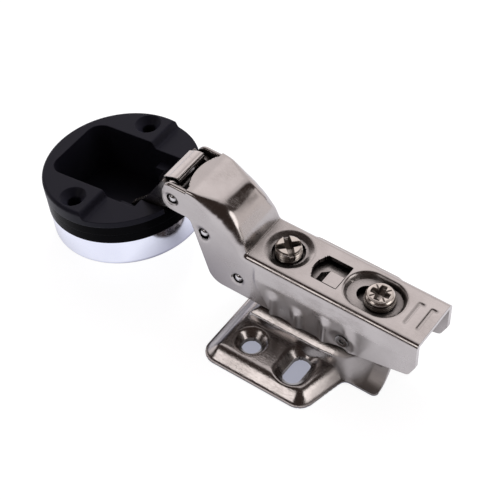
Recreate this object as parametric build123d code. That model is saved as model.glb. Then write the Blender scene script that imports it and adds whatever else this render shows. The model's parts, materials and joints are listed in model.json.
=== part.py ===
from build123d import *
from math import cos, hypot, radians, sin, tan
import os

# Concealed cup hinge for a glass door, with a cranked arm and a pressed mounting plate.
#
# Frame, millimetres: X runs along the arm towards its tail, Z stands up from the cabinet
# wall, and the origin lies on the wall plane, midway between the plate's two round screw
# holes. The hinge is modelled fully open, with the cup resting against its stop.

os.makedirs("parts", exist_ok=True)

# ---------------------------------------------------------------- driving dimensions
SCREW_SPACING = 32.0  # hole spacing across the plate, and across the cup
RUNNING_CLEARANCE = 0.05  # radial, pin in eye
SEAT_CLEARANCE = 0.02  # radial, pin seated in its bore
SIDE_CLEARANCE = 0.1  # flat face beside flat face that slides past it
FREE_CLEARANCE = 0.3  # curved or loose faces that never touch

ARM_HALF_WIDTH = 8.3
ARM_SHEET = 1.3
ARM_TOP = 23.4
ARM_TAIL = 42.4
CRANK_TOP = 36.2
FLANGE_BOTTOM = 8.1
TAIL_FOLD = 1.05
CRANK_FOLD = 3.0

OUTER_PIVOT = (-29.8, CRANK_TOP - 5.7)  # X, Z of the outer link's rivet in the arm
INNER_PIVOT = (-20.1, ARM_TOP + 0.35)
SPRING_PIVOT = (-9.7, FLANGE_BOTTOM + 5.2)
RIVET_RADIUS = 1.5

CUP_TILT = 9.0  # degrees the open cup stands past square to the plate
CUP_CENTRE = (-52.74, 0.0, 23.05)  # middle of the cup's mouth
SPIGOT_RADIUS = 18.7  # passes a 38 mm hole in the glass
CUP_LIP = 2.1
CUP_RADIUS = SPIGOT_RADIUS + CUP_LIP
CUP_OUTER_PIN = (10.5, -7.0)  # u, w in the cup's own frame
CUP_INNER_PIN = (8.1, -11.16)
CUP_PIN_RADIUS = 1.5
CUP_INNER_PIN_RADIUS = 1.25

PLATE_SHEET = 1.6
WING_TOP = 3.3
HUMP_TOP = 7.4
PLATE_HOLE_RADIUS = 2.5
SLOT_X = 13.7

SIDE_SCREW_X = 0.2
SIDE_SCREW_RADIUS = 3.5
FIXING_SCREW_X = 26.9
FIXING_SCREW_RADIUS = 2.4

# ---------------------------------------------------------------- shared geometry
CUP_FRAME = Plane(
    origin=CUP_CENTRE,
    x_dir=(cos(radians(CUP_TILT)), 0, sin(radians(CUP_TILT))),
    z_dir=(-sin(radians(CUP_TILT)), 0, cos(radians(CUP_TILT))),
)


def to_cup(x, z):
    """Cup-frame (u, w) of a point given in the row's XZ plane."""
    point = CUP_FRAME.to_local_coords(Vector(x, 0, z))
    return (point.X, point.Z)


def side_solid(outline, y_low, y_high):
    """Solid whose closed outline lies in the XZ plane, between two values of Y."""
    face = Plane.XZ.offset(-y_high) * make_face(outline)
    return extrude(face, amount=y_high - y_low)


def side_polygon(points, radii, y_low, y_high):
    """Side solid of a polygon with one corner radius for each point."""
    return side_solid(FilletPolyline(*points, radius=radii, close=True), y_low, y_high)


def plan_solid(outline, z_low, z_high):
    """Solid whose closed outline lies in the XY plane, between two heights."""
    return Pos(0, 0, z_low) * extrude(make_face(outline), amount=z_high - z_low)


def plan_polygon(points, radii, z_low, z_high):
    """Plan solid of a polygon with one corner radius for each point."""
    return plan_solid(FilletPolyline(*points, radius=radii, close=True), z_low, z_high)


def box(x_low, x_high, y_low, y_high, z_low, z_high):
    """Box from its six faces."""
    size = Box(x_high - x_low, y_high - y_low, z_high - z_low)
    return Pos((x_low + x_high) / 2, (y_low + y_high) / 2, (z_low + z_high) / 2) * size


def rod_y(x, z, radius, y_low, y_high):
    """Cylinder along Y."""
    rod = Rot(90, 0, 0) * Cylinder(radius, y_high - y_low)
    return Pos(x, (y_low + y_high) / 2, z) * rod


def rod_z(x, y, radius, z_low, z_high):
    """Cylinder along Z."""
    return Pos(x, y, (z_low + z_high) / 2) * Cylinder(radius, z_high - z_low)


def cone_z(x, y, low_radius, high_radius, z_low, z_high):
    """Cone frustum along Z."""
    cone = Cone(low_radius, high_radius, z_high - z_low)
    return Pos(x, y, (z_low + z_high) / 2) * cone


def mirrored_y(shape):
    """The shape joined to its mirror image across the XZ plane."""
    return shape + mirror(shape, about=Plane.XZ)


def parallel_path(points, distance):
    """Mitred polyline that runs parallel to another, on the left of its direction."""
    result = []
    count = len(points)
    for i in range(count):
        normals = []
        for a, b in ((i - 1, i), (i, i + 1)):
            if a >= 0 and b < count:
                dx = points[b][0] - points[a][0]
                dz = points[b][1] - points[a][1]
                length = hypot(dx, dz)
                normals.append((-dz / length, dx / length))
        nx = sum(n[0] for n in normals)
        nz = sum(n[1] for n in normals)
        scale = distance * len(normals) / (nx * nx + nz * nz)
        result.append((points[i][0] + nx * scale, points[i][1] + nz * scale))
    return result


def obround(x, y, radius, half_straight, z_low, z_high, along="x"):
    """Solid with a slot-shaped outline along X or Y."""
    if along == "x":
        ends = ((x - half_straight, y), (x + half_straight, y))
        core = box(x - half_straight, x + half_straight, y - radius, y + radius, z_low, z_high)
    else:
        ends = ((x, y - half_straight), (x, y + half_straight))
        core = box(x - radius, x + radius, y - half_straight, y + half_straight, z_low, z_high)
    for end_x, end_y in ends:
        core += rod_z(end_x, end_y, radius, z_low, z_high)
    return core


def tapered_obround(x, y, low_radius, high_radius, half_straight, z_low, z_high):
    """Obround along X whose radius changes from one height to another."""
    core = loft(
        [
            Pos(x, y, z_low) * Rectangle(2 * half_straight, 2 * low_radius),
            Pos(x, y, z_high) * Rectangle(2 * half_straight, 2 * high_radius),
        ]
    )
    for end in (x - half_straight, x + half_straight):
        core += cone_z(end, y, low_radius, high_radius, z_low, z_high)
    return core


def cross_recess(x, y, z_top, half_span, width, depth, turn):
    """Cross recess that narrows downwards, turned about its axis, open at the top."""
    recess = cone_z(x, y, width * 0.4, width * 0.9, z_top - depth, z_top)
    for angle in (turn, turn + 90):
        blade = loft(
            [
                Pos(0, 0, z_top - depth) * Rectangle(half_span, width * 0.5),
                Pos(0, 0, z_top) * Rectangle(2 * half_span, width * 0.8),
            ]
        )
        recess += Pos(x, y, 0) * Rot(0, 0, angle) * blade
    return recess


# ---------------------------------------------------------------- arm
REACH = 100.0  # half size of a block that stands for a half space
ARM_INNER = ARM_HALF_WIDTH - ARM_SHEET
NOSE_X = -32.6
EAR_BOTTOM = CRANK_TOP - 9.3
EAR_TOP = CRANK_TOP - 0.6  # ahead of the web the ears stand without a fold
EAR_REAR = -25.3
EAR_CORNER = 2.8
WEB_FRONT = -26.0  # at the front edge's two corners
WEB_BOW = 1.2
WEB_CORNER = 1.4
WEB_PATH = [
    (ARM_TAIL + 2, ARM_TOP),
    (-7.4, ARM_TOP),
    (-13.6, CRANK_TOP - 2.0),
    (-23.1, CRANK_TOP),
    (NOSE_X - 3, CRANK_TOP),
]
WEB_RADII = [1.6, 4.5, 10.0]
GROOVE_RADIUS = 3.2
GROOVE_DEPTH = 0.6
FOLD_WIDENS = 3.2  # up the slope, where its folds begin to widen
FOLD_MARGIN = 2.3  # on each side of the outer bend
FOLD_NARROWS = 7.4  # past the outer bend
WEB_UNDERSIDE = ARM_TOP - ARM_SHEET

DIMPLE_RADIUS = 6.8
DIMPLE_DEPTH = 1.0
DIMPLE_HOLE = SIDE_SCREW_RADIUS + 0.8
DIMPLE_UNDERSIDE = WEB_UNDERSIDE - DIMPLE_DEPTH + 0.05

POCKET_DEPTH = 1.6
POCKET_RADIUS = 5.9
POCKET_FLOOR_RADIUS = 5.2
POCKET_X = 25.5
POCKET_HALF_STRAIGHT = 2.3
POCKET_FLOOR = ARM_TOP - POCKET_DEPTH
TAIL_BARS = (35.9, 39.4)
BAR_HALF_WIDTH = 0.45
BAR_REACH = 3.8
BAR_HOOK = 0.7
BAR_PROUD = 0.25

BEAD_COUNT = 4
BEAD_FIRST = 2.0
BEAD_PITCH = 7.3
BEAD_RADIUS = 3.0
BEAD_PROUD = 0.35
BEAD_LOW = FLANGE_BOTTOM + 5.9
BEAD_LENGTH = 2.8
SLOT_CLEARANCE = 0.2
FLOOR_SLOT_RADIUS = FIXING_SCREW_RADIUS + SLOT_CLEARANCE

GUIDE_RIVET = (21.8, FLANGE_BOTTOM + 2.8)
GUIDE_RIVET_RADIUS = 1.25
GUIDE_RIVET_LIP = 0.55
GUIDE_RIVET_BORE = 0.75
PIN_HOLE = RIVET_RADIUS + SEAT_CLEARANCE
WINDOW_LEFT = 9.7
WINDOW_ARCH = 8.1
WINDOW_RIGHT = 16.8
WINDOW_NEAR = -4.3
WINDOW_FAR = 4.0


def path_plane(path, index, distance):
    """Plane square to one segment of a side path, X axis along +Y, Y axis into the metal."""
    (x0, z0), (x1, z1) = path[index], path[index + 1]
    length = hypot(x1 - x0, z1 - z0)
    dx, dz = (x1 - x0) / length, (z1 - z0) / length
    origin = (x0 + dx * distance, 0, z0 + dz * distance)
    return Plane(origin=origin, x_dir=(0, 1, 0), z_dir=(dx, 0, dz))


def half_space(plane, side):
    """Block that fills one side of a plane: 1 ahead of its normal, -1 behind it."""
    return plane.location * Pos(0, 0, side * REACH) * Box(2 * REACH, 2 * REACH, 2 * REACH)


def folded_block(path, radii, half_width, small_fold, large_fold):
    """Block under a web path, its two long folds wider round the crank's outer bend."""
    outline = [(path[0][0], -1), *path, (path[-1][0], -1)]
    block = side_polygon(outline, [0, 0, *radii, 0, 0], -half_width, half_width)
    top_edges = [
        edge
        for edge in block.edges()
        if abs(abs(edge.center().Y) - half_width) < 0.01
        and edge.center().Z > ARM_TOP - 2 * ARM_SHEET
        and abs(edge.center().X - path[0][0]) > 0.01
        and abs(edge.center().X - path[-1][0]) > 0.01
    ]
    tight = fillet(top_edges, small_fold)
    wide = fillet(top_edges, large_fold)
    slope_length = hypot(path[2][0] - path[1][0], path[2][1] - path[1][1])
    cuts = [
        path_plane(path, 1, FOLD_WIDENS),
        path_plane(path, 1, slope_length - FOLD_MARGIN),
        path_plane(path, 2, FOLD_MARGIN),
        path_plane(path, 2, FOLD_NARROWS),
    ]
    folds = [small_fold, large_fold, large_fold, small_fold]
    sections = []
    for plane, fold in zip(cuts, folds):
        corners = [(-half_width, 0), (half_width, 0), (half_width, REACH), (-half_width, REACH)]
        outline = FilletPolyline(*corners, radius=[fold, fold, 0, 0], close=True)
        sections.append(plane * make_face(outline))
    tail = tight & half_space(cuts[0], -1)
    slope = block & loft(sections[:2], ruled=True)
    bend = wide & half_space(cuts[1], 1) & half_space(cuts[2], -1)
    roof = block & loft(sections[2:], ruled=True)
    nose = tight & half_space(cuts[3], 1)
    return tail + slope + bend + roof + nose


def arm_outline():
    """Side silhouette of ears and flanges, taller than the web it trims."""
    corners = [
        ((ARM_TAIL, CRANK_TOP), 0),
        ((NOSE_X, CRANK_TOP), 0),
        ((NOSE_X, EAR_BOTTOM), EAR_CORNER),
        ((NOSE_X + 8.5, EAR_BOTTOM), 1.8),
        ((SPRING_PIVOT[0] - 7.9, FLANGE_BOTTOM), 4.5),
        ((ARM_TAIL - 12.4, FLANGE_BOTTOM), 6.0),
        ((ARM_TAIL - 1.8, FLANGE_BOTTOM + 2.9), 2.0),
        ((ARM_TAIL, FLANGE_BOTTOM + 6.9), 1.5),
    ]
    points = [corner[0] for corner in corners]
    radii = [corner[1] for corner in corners]
    return side_polygon(points, radii, -ARM_HALF_WIDTH - 1, ARM_HALF_WIDTH + 1)


def nose_cutter():
    """Space ahead of the web's bowed front edge, and over the two ears beside it."""
    half_bow = ARM_INNER - WEB_CORNER
    near, far = (WEB_FRONT, -half_bow), (WEB_FRONT, half_bow)
    bow = ThreePointArc(near, (WEB_FRONT - WEB_BOW, 0), far)
    rest = Polyline(
        far,
        (EAR_REAR, ARM_INNER),
        (NOSE_X - 5, ARM_INNER),
        (NOSE_X - 5, -ARM_INNER),
        (EAR_REAR, -ARM_INNER),
        near,
    )
    above = box(NOSE_X - 1, EAR_REAR, ARM_INNER, ARM_HALF_WIDTH + 1, EAR_BOTTOM, CRANK_TOP + 1)
    ear = [
        (NOSE_X, EAR_TOP),
        (EAR_REAR + 1, EAR_TOP),
        (EAR_REAR + 1, EAR_BOTTOM - 1),
        (NOSE_X, EAR_BOTTOM - 1),
    ]
    above -= side_polygon(ear, [EAR_CORNER, 0, 0, 0], ARM_INNER - 1, ARM_HALF_WIDTH + 2)
    return plan_solid(bow + rest, EAR_BOTTOM, CRANK_TOP + 1) + mirrored_y(above)


def bend_bead():
    """Stiffening groove pressed across the crank's outer bend."""
    crest_x, crest_z = WEB_PATH[2]
    normal = Vector(0.56, 0, 0.83)
    lift = normal * (GROOVE_RADIUS - GROOVE_DEPTH)
    start = Vector(crest_x - 0.7, -4.0, crest_z - 0.5) + lift
    end = Vector(crest_x + 0.7, 4.2, crest_z - 1.6) + lift
    axis = end - start
    middle = Plane(origin=(start + end) * 0.5, z_dir=axis).location
    groove = middle * Cylinder(GROOVE_RADIUS, axis.length)
    return groove + Pos(*start) * Sphere(GROOVE_RADIUS) + Pos(*end) * Sphere(GROOVE_RADIUS)


def window_cutter():
    """Window over the guide's pad: square at the right, arched at the left."""
    near, far = (WINDOW_LEFT, WINDOW_NEAR), (WINDOW_LEFT, WINDOW_FAR)
    arch = ThreePointArc(near, (WINDOW_ARCH, (WINDOW_NEAR + WINDOW_FAR) / 2), far)
    sides = Polyline(far, (WINDOW_RIGHT, WINDOW_FAR), (WINDOW_RIGHT, WINDOW_NEAR), near)
    return plan_solid(arch + sides, WEB_UNDERSIDE - 1, ARM_TOP + 1)


def flange_bead(x):
    """Soft upright bead on the outer face of a flange."""
    y = ARM_HALF_WIDTH + BEAD_PROUD - BEAD_RADIUS
    high = BEAD_LOW + BEAD_LENGTH
    bead = rod_z(x, -y, BEAD_RADIUS, BEAD_LOW, high)
    for z in (BEAD_LOW, high):
        bead += Pos(x, -y, z) * Sphere(BEAD_RADIUS)
    return bead


def tail_bar(x):
    """Low bar pressed up across the tail, with a short hook at its far end."""
    low, high = ARM_TOP - 0.2, ARM_TOP + BAR_PROUD
    half = BAR_HALF_WIDTH
    bar = box(x - half, x + half, -BAR_REACH, BAR_REACH, low, high)
    return bar + box(x - half, x + half + 2 * BAR_HOOK, BAR_REACH - BAR_HOOK, BAR_REACH, low, high)


def make_arm():
    """Cranked arm pressed from one sheet, web on top and a flange down each side."""
    outer = folded_block(WEB_PATH, WEB_RADII, ARM_HALF_WIDTH, TAIL_FOLD, CRANK_FOLD)
    under_path = parallel_path(WEB_PATH, ARM_SHEET)
    under_radii = [WEB_RADII[0] + ARM_SHEET, WEB_RADII[1] - ARM_SHEET, WEB_RADII[2] - ARM_SHEET]
    void = folded_block(under_path, under_radii, ARM_INNER, 0.3, CRANK_FOLD - ARM_SHEET)
    arm = outer & arm_outline()
    for index in range(BEAD_COUNT):
        arm += mirrored_y(flange_bead(BEAD_FIRST + index * BEAD_PITCH))
    arm -= void
    arm -= nose_cutter()
    arm -= bend_bead()
    arm += rod_z(SIDE_SCREW_X, 0, DIMPLE_RADIUS - 0.3, DIMPLE_UNDERSIDE, WEB_UNDERSIDE + 0.1)
    floor = ARM_TOP - DIMPLE_DEPTH
    arm -= cone_z(SIDE_SCREW_X, 0, 5.3, DIMPLE_RADIUS, floor, ARM_TOP)
    arm += rod_z(SIDE_SCREW_X, 0, DIMPLE_HOLE + 0.45, floor - 0.1, floor + 0.25)
    arm -= rod_z(SIDE_SCREW_X, 0, DIMPLE_HOLE, DIMPLE_UNDERSIDE - 1, ARM_TOP)
    pan = (POCKET_X, 0, POCKET_RADIUS + 0.3, POCKET_HALF_STRAIGHT)
    arm += obround(*pan, POCKET_FLOOR - ARM_SHEET, WEB_UNDERSIDE + 0.1)
    arm -= tapered_obround(
        POCKET_X, 0, POCKET_FLOOR_RADIUS, POCKET_RADIUS, POCKET_HALF_STRAIGHT, POCKET_FLOOR, ARM_TOP
    )
    slot = (POCKET_X, 0, FLOOR_SLOT_RADIUS, POCKET_HALF_STRAIGHT)
    arm -= obround(*slot, POCKET_FLOOR - 2 * ARM_SHEET, ARM_TOP)
    arm -= window_cutter()
    for x in TAIL_BARS:
        arm += tail_bar(x)
    for x, z in (OUTER_PIVOT, INNER_PIVOT, SPRING_PIVOT):
        arm -= rod_y(x, z, PIN_HOLE, -ARM_HALF_WIDTH - 1, ARM_HALF_WIDTH + 1)
    arm -= rod_y(*GUIDE_RIVET, GUIDE_RIVET_RADIUS, -ARM_HALF_WIDTH - 1, ARM_HALF_WIDTH + 1)
    return arm


# ---------------------------------------------------------------- guide inside the arm
GUIDE_SHEET = 1.0
GUIDE_HALF_WIDTH = ARM_INNER - SIDE_CLEARANCE
GUIDE_INNER = GUIDE_HALF_WIDTH - GUIDE_SHEET
GUIDE_TOP = DIMPLE_UNDERSIDE
GUIDE_FRONT = -4.5
GUIDE_REAR = 26.0
GUIDE_WEB_REAR = 16.9
GUIDE_BOTTOM = 9.4
SIDE_THREAD_BOTTOM = 18.9


def make_guide_channel():
    """Channel riveted inside the arm: it carries the side screw's thread and the window pad."""
    top, low = GUIDE_TOP, GUIDE_BOTTOM
    guide = box(GUIDE_FRONT, GUIDE_REAR, -GUIDE_HALF_WIDTH, GUIDE_HALF_WIDTH, low, top)
    guide -= box(GUIDE_FRONT - 1, GUIDE_REAR + 1, -GUIDE_INNER, GUIDE_INNER, 0, top - GUIDE_SHEET)
    guide -= box(GUIDE_WEB_REAR, GUIDE_REAR + 1, -ARM_INNER, ARM_INNER, top - 1.6, top + 1)
    guide += rod_z(SIDE_SCREW_X, 0, SIDE_SCREW_RADIUS + 1.1, SIDE_THREAD_BOTTOM, top)
    pad_rear = WINDOW_RIGHT - 0.15
    pad_outline = [
        (pad_rear, ARM_TOP),
        (12.8, ARM_TOP),
        (10.0, top),
        (9.1, top - 0.5),
        (10.9, top - 0.5),
        (13.2, ARM_TOP - GUIDE_SHEET),
        (pad_rear, ARM_TOP - GUIDE_SHEET),
    ]
    guide += side_polygon(pad_outline, [0, 0.8, 0, 0, 0, 0.3, 0], WINDOW_NEAR + 0.15, 0.0)
    thread = SIDE_SCREW_RADIUS + RUNNING_CLEARANCE
    guide -= rod_z(SIDE_SCREW_X, 0, thread, SIDE_THREAD_BOTTOM - 1, top + 0.1)
    x, z = GUIDE_RIVET
    guide -= rod_y(x, z, GUIDE_RIVET_RADIUS, -ARM_HALF_WIDTH, ARM_HALF_WIDTH)
    return guide


def make_guide_rivets():
    """Two tubular rivets, rolled over outside the flanges and inside the guide."""
    x, z = GUIDE_RIVET
    outside = ARM_HALF_WIDTH
    rivet = rod_y(x, z, GUIDE_RIVET_RADIUS, GUIDE_INNER, outside)
    rolled = GUIDE_RIVET_RADIUS + GUIDE_RIVET_LIP
    rivet += rod_y(x, z, rolled, outside, outside + 0.35)
    rivet += rod_y(x, z, rolled, GUIDE_INNER - 0.4, GUIDE_INNER)
    rivet -= rod_y(x, z, GUIDE_RIVET_BORE, GUIDE_INNER - 1, outside + 1)
    return mirrored_y(rivet)


# ---------------------------------------------------------------- mounting plate
FRONT_EDGE = -9.7
WING_HALF_WIDTH = 25.3
WING_REAR = 20.6  # at the wing tips
WING_ROOT = 26.6  # beside the raised middle
TAIL_END = 34.0
HUMP_FRONT = -5.9  # at the wall plane
HUMP_HALF_WIDTH = 11.1
HUMP_TAPER = 10.0  # degrees from upright
RIM_TAPER = 45.0
SLOT_HALF_STRAIGHT = 1.95
COUNTERSINK_RADIUS = 4.2
SADDLE_TABS = (3.0, 30.0)  # X of each pair of staked tabs
SADDLE_TAB_LENGTH = 4.0

SADDLE_SHEET = 1.4
SADDLE_HALF_WIDTH = GUIDE_INNER - 0.25
SADDLE_INNER = SADDLE_HALF_WIDTH - SADDLE_SHEET
SADDLE_FRONT = -2.6
SADDLE_REAR = 33.0
FORK_TOP = 17.9
SEAT_TOP = 19.7
SEAT_GAP = 0.2  # under the arm's pocket, beside the line that carries it
FULCRUM_HEIGHT = POCKET_FLOOR - ARM_SHEET - SEAT_GAP - SEAT_TOP


def wing_outline(inset):
    """Outline of both wings on the wall plane, moved inwards by an inset."""
    corners = [
        ((FRONT_EDGE + inset, -WING_HALF_WIDTH + inset), 4.6),
        ((WING_REAR - inset * 0.75, -WING_HALF_WIDTH + inset), 3.6),
        ((WING_ROOT - inset * 1.1, -9.0), 0),
        ((WING_ROOT - inset * 1.1, 9.0), 0),
        ((WING_REAR - inset * 0.75, WING_HALF_WIDTH - inset), 3.6),
        ((FRONT_EDGE + inset, WING_HALF_WIDTH - inset), 4.6),
    ]
    points = [corner[0] for corner in corners]
    radii = [max(corner[1] - inset * 0.4, 0) for corner in corners]
    return FilletPolyline(*points, radius=radii, close=True)


def pressed_wings(inset, height):
    """Block of the wings: its rim slopes inwards to the top face."""
    rim = height * tan(radians(RIM_TAPER))
    low = make_face(wing_outline(inset))
    high = Pos(0, 0, height) * make_face(wing_outline(inset + rim))
    return loft([low, high], ruled=True)


def pressed_hump(inset, height):
    """Block of the raised middle, narrower at the top."""
    lean = height * tan(radians(HUMP_TAPER))
    levels = []
    for level, shrink in ((0, inset), (height, inset + lean)):
        half = HUMP_HALF_WIDTH - shrink
        front = HUMP_FRONT + shrink
        rear = TAIL_END - shrink
        corners = [(front, -half), (rear, -half), (rear, half), (front, half)]
        outline = FilletPolyline(*corners, radius=2.2, close=True)
        levels.append(Pos(0, 0, level) * make_face(outline))
    return loft(levels, ruled=True)


def slot_y(x, y, radius, z_low, z_high):
    """Slot cutter along Y."""
    return obround(x, y, radius, SLOT_HALF_STRAIGHT, z_low, z_high, along="y")


def countersunk_slot(x, y, low_radius, high_radius, z_low, z_high):
    """Tapered slot along Y."""
    turned = tapered_obround(0, 0, low_radius, high_radius, SLOT_HALF_STRAIGHT, z_low, z_high)
    return Pos(x, y, 0) * Rot(0, 0, 90) * turned


def make_mounting_plate():
    """Butterfly plate pressed from one sheet, with dimpled countersinks for its screws."""
    slant = PLATE_SHEET / cos(radians(RIM_TAPER))
    upright = PLATE_SHEET / cos(radians(HUMP_TAPER))
    body = pressed_wings(0, WING_TOP) + pressed_hump(0, HUMP_TOP)
    crest = [
        edge
        for edge in body.edges()
        if abs(edge.center().Z - HUMP_TOP) < 0.01
    ]
    body = fillet(crest, 1.3)
    void = pressed_wings(slant, WING_TOP - PLATE_SHEET)
    void += pressed_hump(upright, HUMP_TOP - PLATE_SHEET)
    low = WING_TOP - PLATE_SHEET + 0.1
    plate = body - void
    hole_y = SCREW_SPACING / 2
    for y in (-hole_y, hole_y):
        plate += cone_z(0, y, 3.7, 5.7, 0, low)
        plate += countersunk_slot(SLOT_X, y, 3.6, 5.0, 0, low)
    for y in (-hole_y, hole_y):
        sink = COUNTERSINK_RADIUS
        hole = PLATE_HOLE_RADIUS
        plate -= cone_z(0, y, hole, sink, WING_TOP - sink + hole, WING_TOP)
        plate -= rod_z(0, y, hole, -1, WING_TOP)
        plate -= countersunk_slot(SLOT_X, y, hole, 3.9, WING_TOP - 1.4, WING_TOP)
        plate -= slot_y(SLOT_X, y, hole, -1, WING_TOP)
    clear = SIDE_CLEARANCE
    for x in SADDLE_TABS:
        half = SADDLE_TAB_LENGTH / 2 + clear
        y_low, y_high = SADDLE_INNER - clear, SADDLE_HALF_WIDTH + clear
        plate -= mirrored_y(box(x - half, x + half, y_low, y_high, 1, HUMP_TOP + 1))
    return plate


def make_saddle():
    """Bracket staked on the plate: fork for the side screw, stepped seat for the fixing screw."""
    profile = [
        (SADDLE_FRONT, HUMP_TOP),
        (SADDLE_REAR, HUMP_TOP),
        (SADDLE_REAR, SEAT_TOP),
        (17.5, SEAT_TOP),
        (15.7, FORK_TOP),
        (SADDLE_FRONT, FORK_TOP),
    ]
    half = SADDLE_HALF_WIDTH
    saddle = side_polygon(profile, [0, 0, 1.5, 1.0, 1.0, 1.5], -half, half)
    sheet = SADDLE_SHEET
    under = [
        (SADDLE_FRONT - 2, 0),
        (SADDLE_REAR + 2, 0),
        (SADDLE_REAR + 2, SEAT_TOP - sheet),
        (17.9, SEAT_TOP - sheet),
        (16.1, FORK_TOP - sheet),
        (SADDLE_FRONT - 2, FORK_TOP - sheet),
    ]
    saddle -= side_polygon(under, [0] * 6, -SADDLE_INNER, SADDLE_INNER)
    for x in SADDLE_TABS:
        reach = SADDLE_TAB_LENGTH / 2
        foot = HUMP_TOP - PLATE_SHEET - 0.8
        tab = box(x - reach, x + reach, SADDLE_INNER, half, foot, HUMP_TOP)
        saddle += mirrored_y(tab)
    saddle += rod_y(FIXING_SCREW_X, SEAT_TOP - 1.0, 1.0 + FULCRUM_HEIGHT, -half, half) - box(
        0, SADDLE_REAR, -half, half, 0, SEAT_TOP - sheet / 2
    )
    neck = SIDE_NECK_RADIUS + 0.2
    saddle -= obround(SIDE_SCREW_X, 0, neck, 6.0, FORK_TOP - 2 * sheet, FORK_TOP + 1)
    saddle -= rod_z(FIXING_SCREW_X, 0, FLOOR_SLOT_RADIUS, SEAT_TOP - 2 * sheet, SEAT_TOP + 2)
    x, z = GUIDE_RIVET
    rivet_room = box(x - 3.4, x + 5.6, SADDLE_INNER - 1, half + 1, z - 2.2, z + 2.2)
    saddle -= mirrored_y(rivet_room)
    return saddle


# ---------------------------------------------------------------- screws
SIDE_NECK_RADIUS = 1.8
SIDE_SHOULDER = 18.6
SIDE_FOOT_TOP = 15.6
SIDE_SCREW_TOP = 25.0
COLLAR_RADIUS = 4.3
COLLAR_HEIGHT = 2.1
HEAD_GAP = 0.2
HEAD_RADIUS = 4.0
HEAD_HEIGHT = 2.3
NUT_HALF = 4.0
NUT_HEIGHT = 4.0
FIXING_SCREW_TIP = 11.0


def make_side_adjust_screw():
    """Headless screw held by its neck in the saddle's fork, with a flange under the fork."""
    x = SIDE_SCREW_X
    screw = rod_z(x, 0, SIDE_SCREW_RADIUS, SIDE_SHOULDER, SIDE_SCREW_TOP)
    screw = chamfer(screw.edges().filter_by(GeomType.CIRCLE).group_by(Axis.Z)[-1], 0.5)
    screw += rod_z(x, 0, SIDE_NECK_RADIUS, SIDE_FOOT_TOP, SIDE_SHOULDER)
    screw += rod_z(x, 0, 3.1, SIDE_FOOT_TOP - 1.2, SIDE_FOOT_TOP)
    return screw - cross_recess(x, 0, SIDE_SCREW_TOP, 2.9, 2.0, 2.4, 12)


def make_fixing_screw():
    """Pan-head screw that clamps the arm's pocket floor on the saddle."""
    x = FIXING_SCREW_X
    head_low = POCKET_FLOOR + COLLAR_HEIGHT + HEAD_GAP
    head = rod_z(x, 0, HEAD_RADIUS, head_low, head_low + HEAD_HEIGHT)
    head = fillet(head.edges().filter_by(GeomType.CIRCLE).group_by(Axis.Z)[-1], 1.3)
    shank = rod_z(x, 0, FIXING_SCREW_RADIUS, FIXING_SCREW_TIP, head_low + 0.5)
    shank = chamfer(shank.edges().filter_by(GeomType.CIRCLE).group_by(Axis.Z)[0], 0.5)
    return head + shank - cross_recess(x, 0, head_low + HEAD_HEIGHT, 2.4, 1.7, 1.9, 35)


def make_screw_collar():
    """Thick turned ring between the fixing screw's head and the pocket floor."""
    x = FIXING_SCREW_X
    ring = rod_z(x, 0, COLLAR_RADIUS, POCKET_FLOOR, POCKET_FLOOR + COLLAR_HEIGHT)
    ring = chamfer(ring.edges().filter_by(GeomType.CIRCLE), 0.25)
    return ring - rod_z(x, 0, FLOOR_SLOT_RADIUS, POCKET_FLOOR - 1, POCKET_FLOOR + 5)


def make_clamp_nut():
    """Square nut under the saddle's seat."""
    x = FIXING_SCREW_X
    top = SEAT_TOP - SADDLE_SHEET
    nut = box(x - NUT_HALF, x + NUT_HALF, -NUT_HALF, NUT_HALF, top - NUT_HEIGHT, top)
    nut = chamfer(nut.edges().filter_by(Axis.Z), 0.6)
    return nut - rod_z(x, 0, FIXING_SCREW_RADIUS + RUNNING_CLEARANCE, 0, top + 1)


# ---------------------------------------------------------------- links and rivets
OUTER_LINK_HALF = ARM_INNER - SIDE_CLEARANCE
OUTER_LINK_SHEET = 1.6
CHEEK_INNER = OUTER_LINK_HALF - OUTER_LINK_SHEET
CURL_RADIUS = 5.1
CURL_SHEET = 1.3
CURL_HALF = 5.5
CHEEK_EYE_RADIUS = 3.2
CUP_EYE_RADIUS = 3.0
INNER_LINK_HALF = 4.6
INNER_LINK_SHEET = 1.8
REAR_EYE_RADIUS = 4.7
REAR_EYE_BORE = 3.05
REAR_EYE_HALF = 6.7
INNER_CUP_EYE = 2.4
RIM_TOP = -3.7  # the glass face, in the cup frame
RIM_INNER = SPIGOT_RADIUS - 3.1  # the rim's inner wall where the links pass


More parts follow.
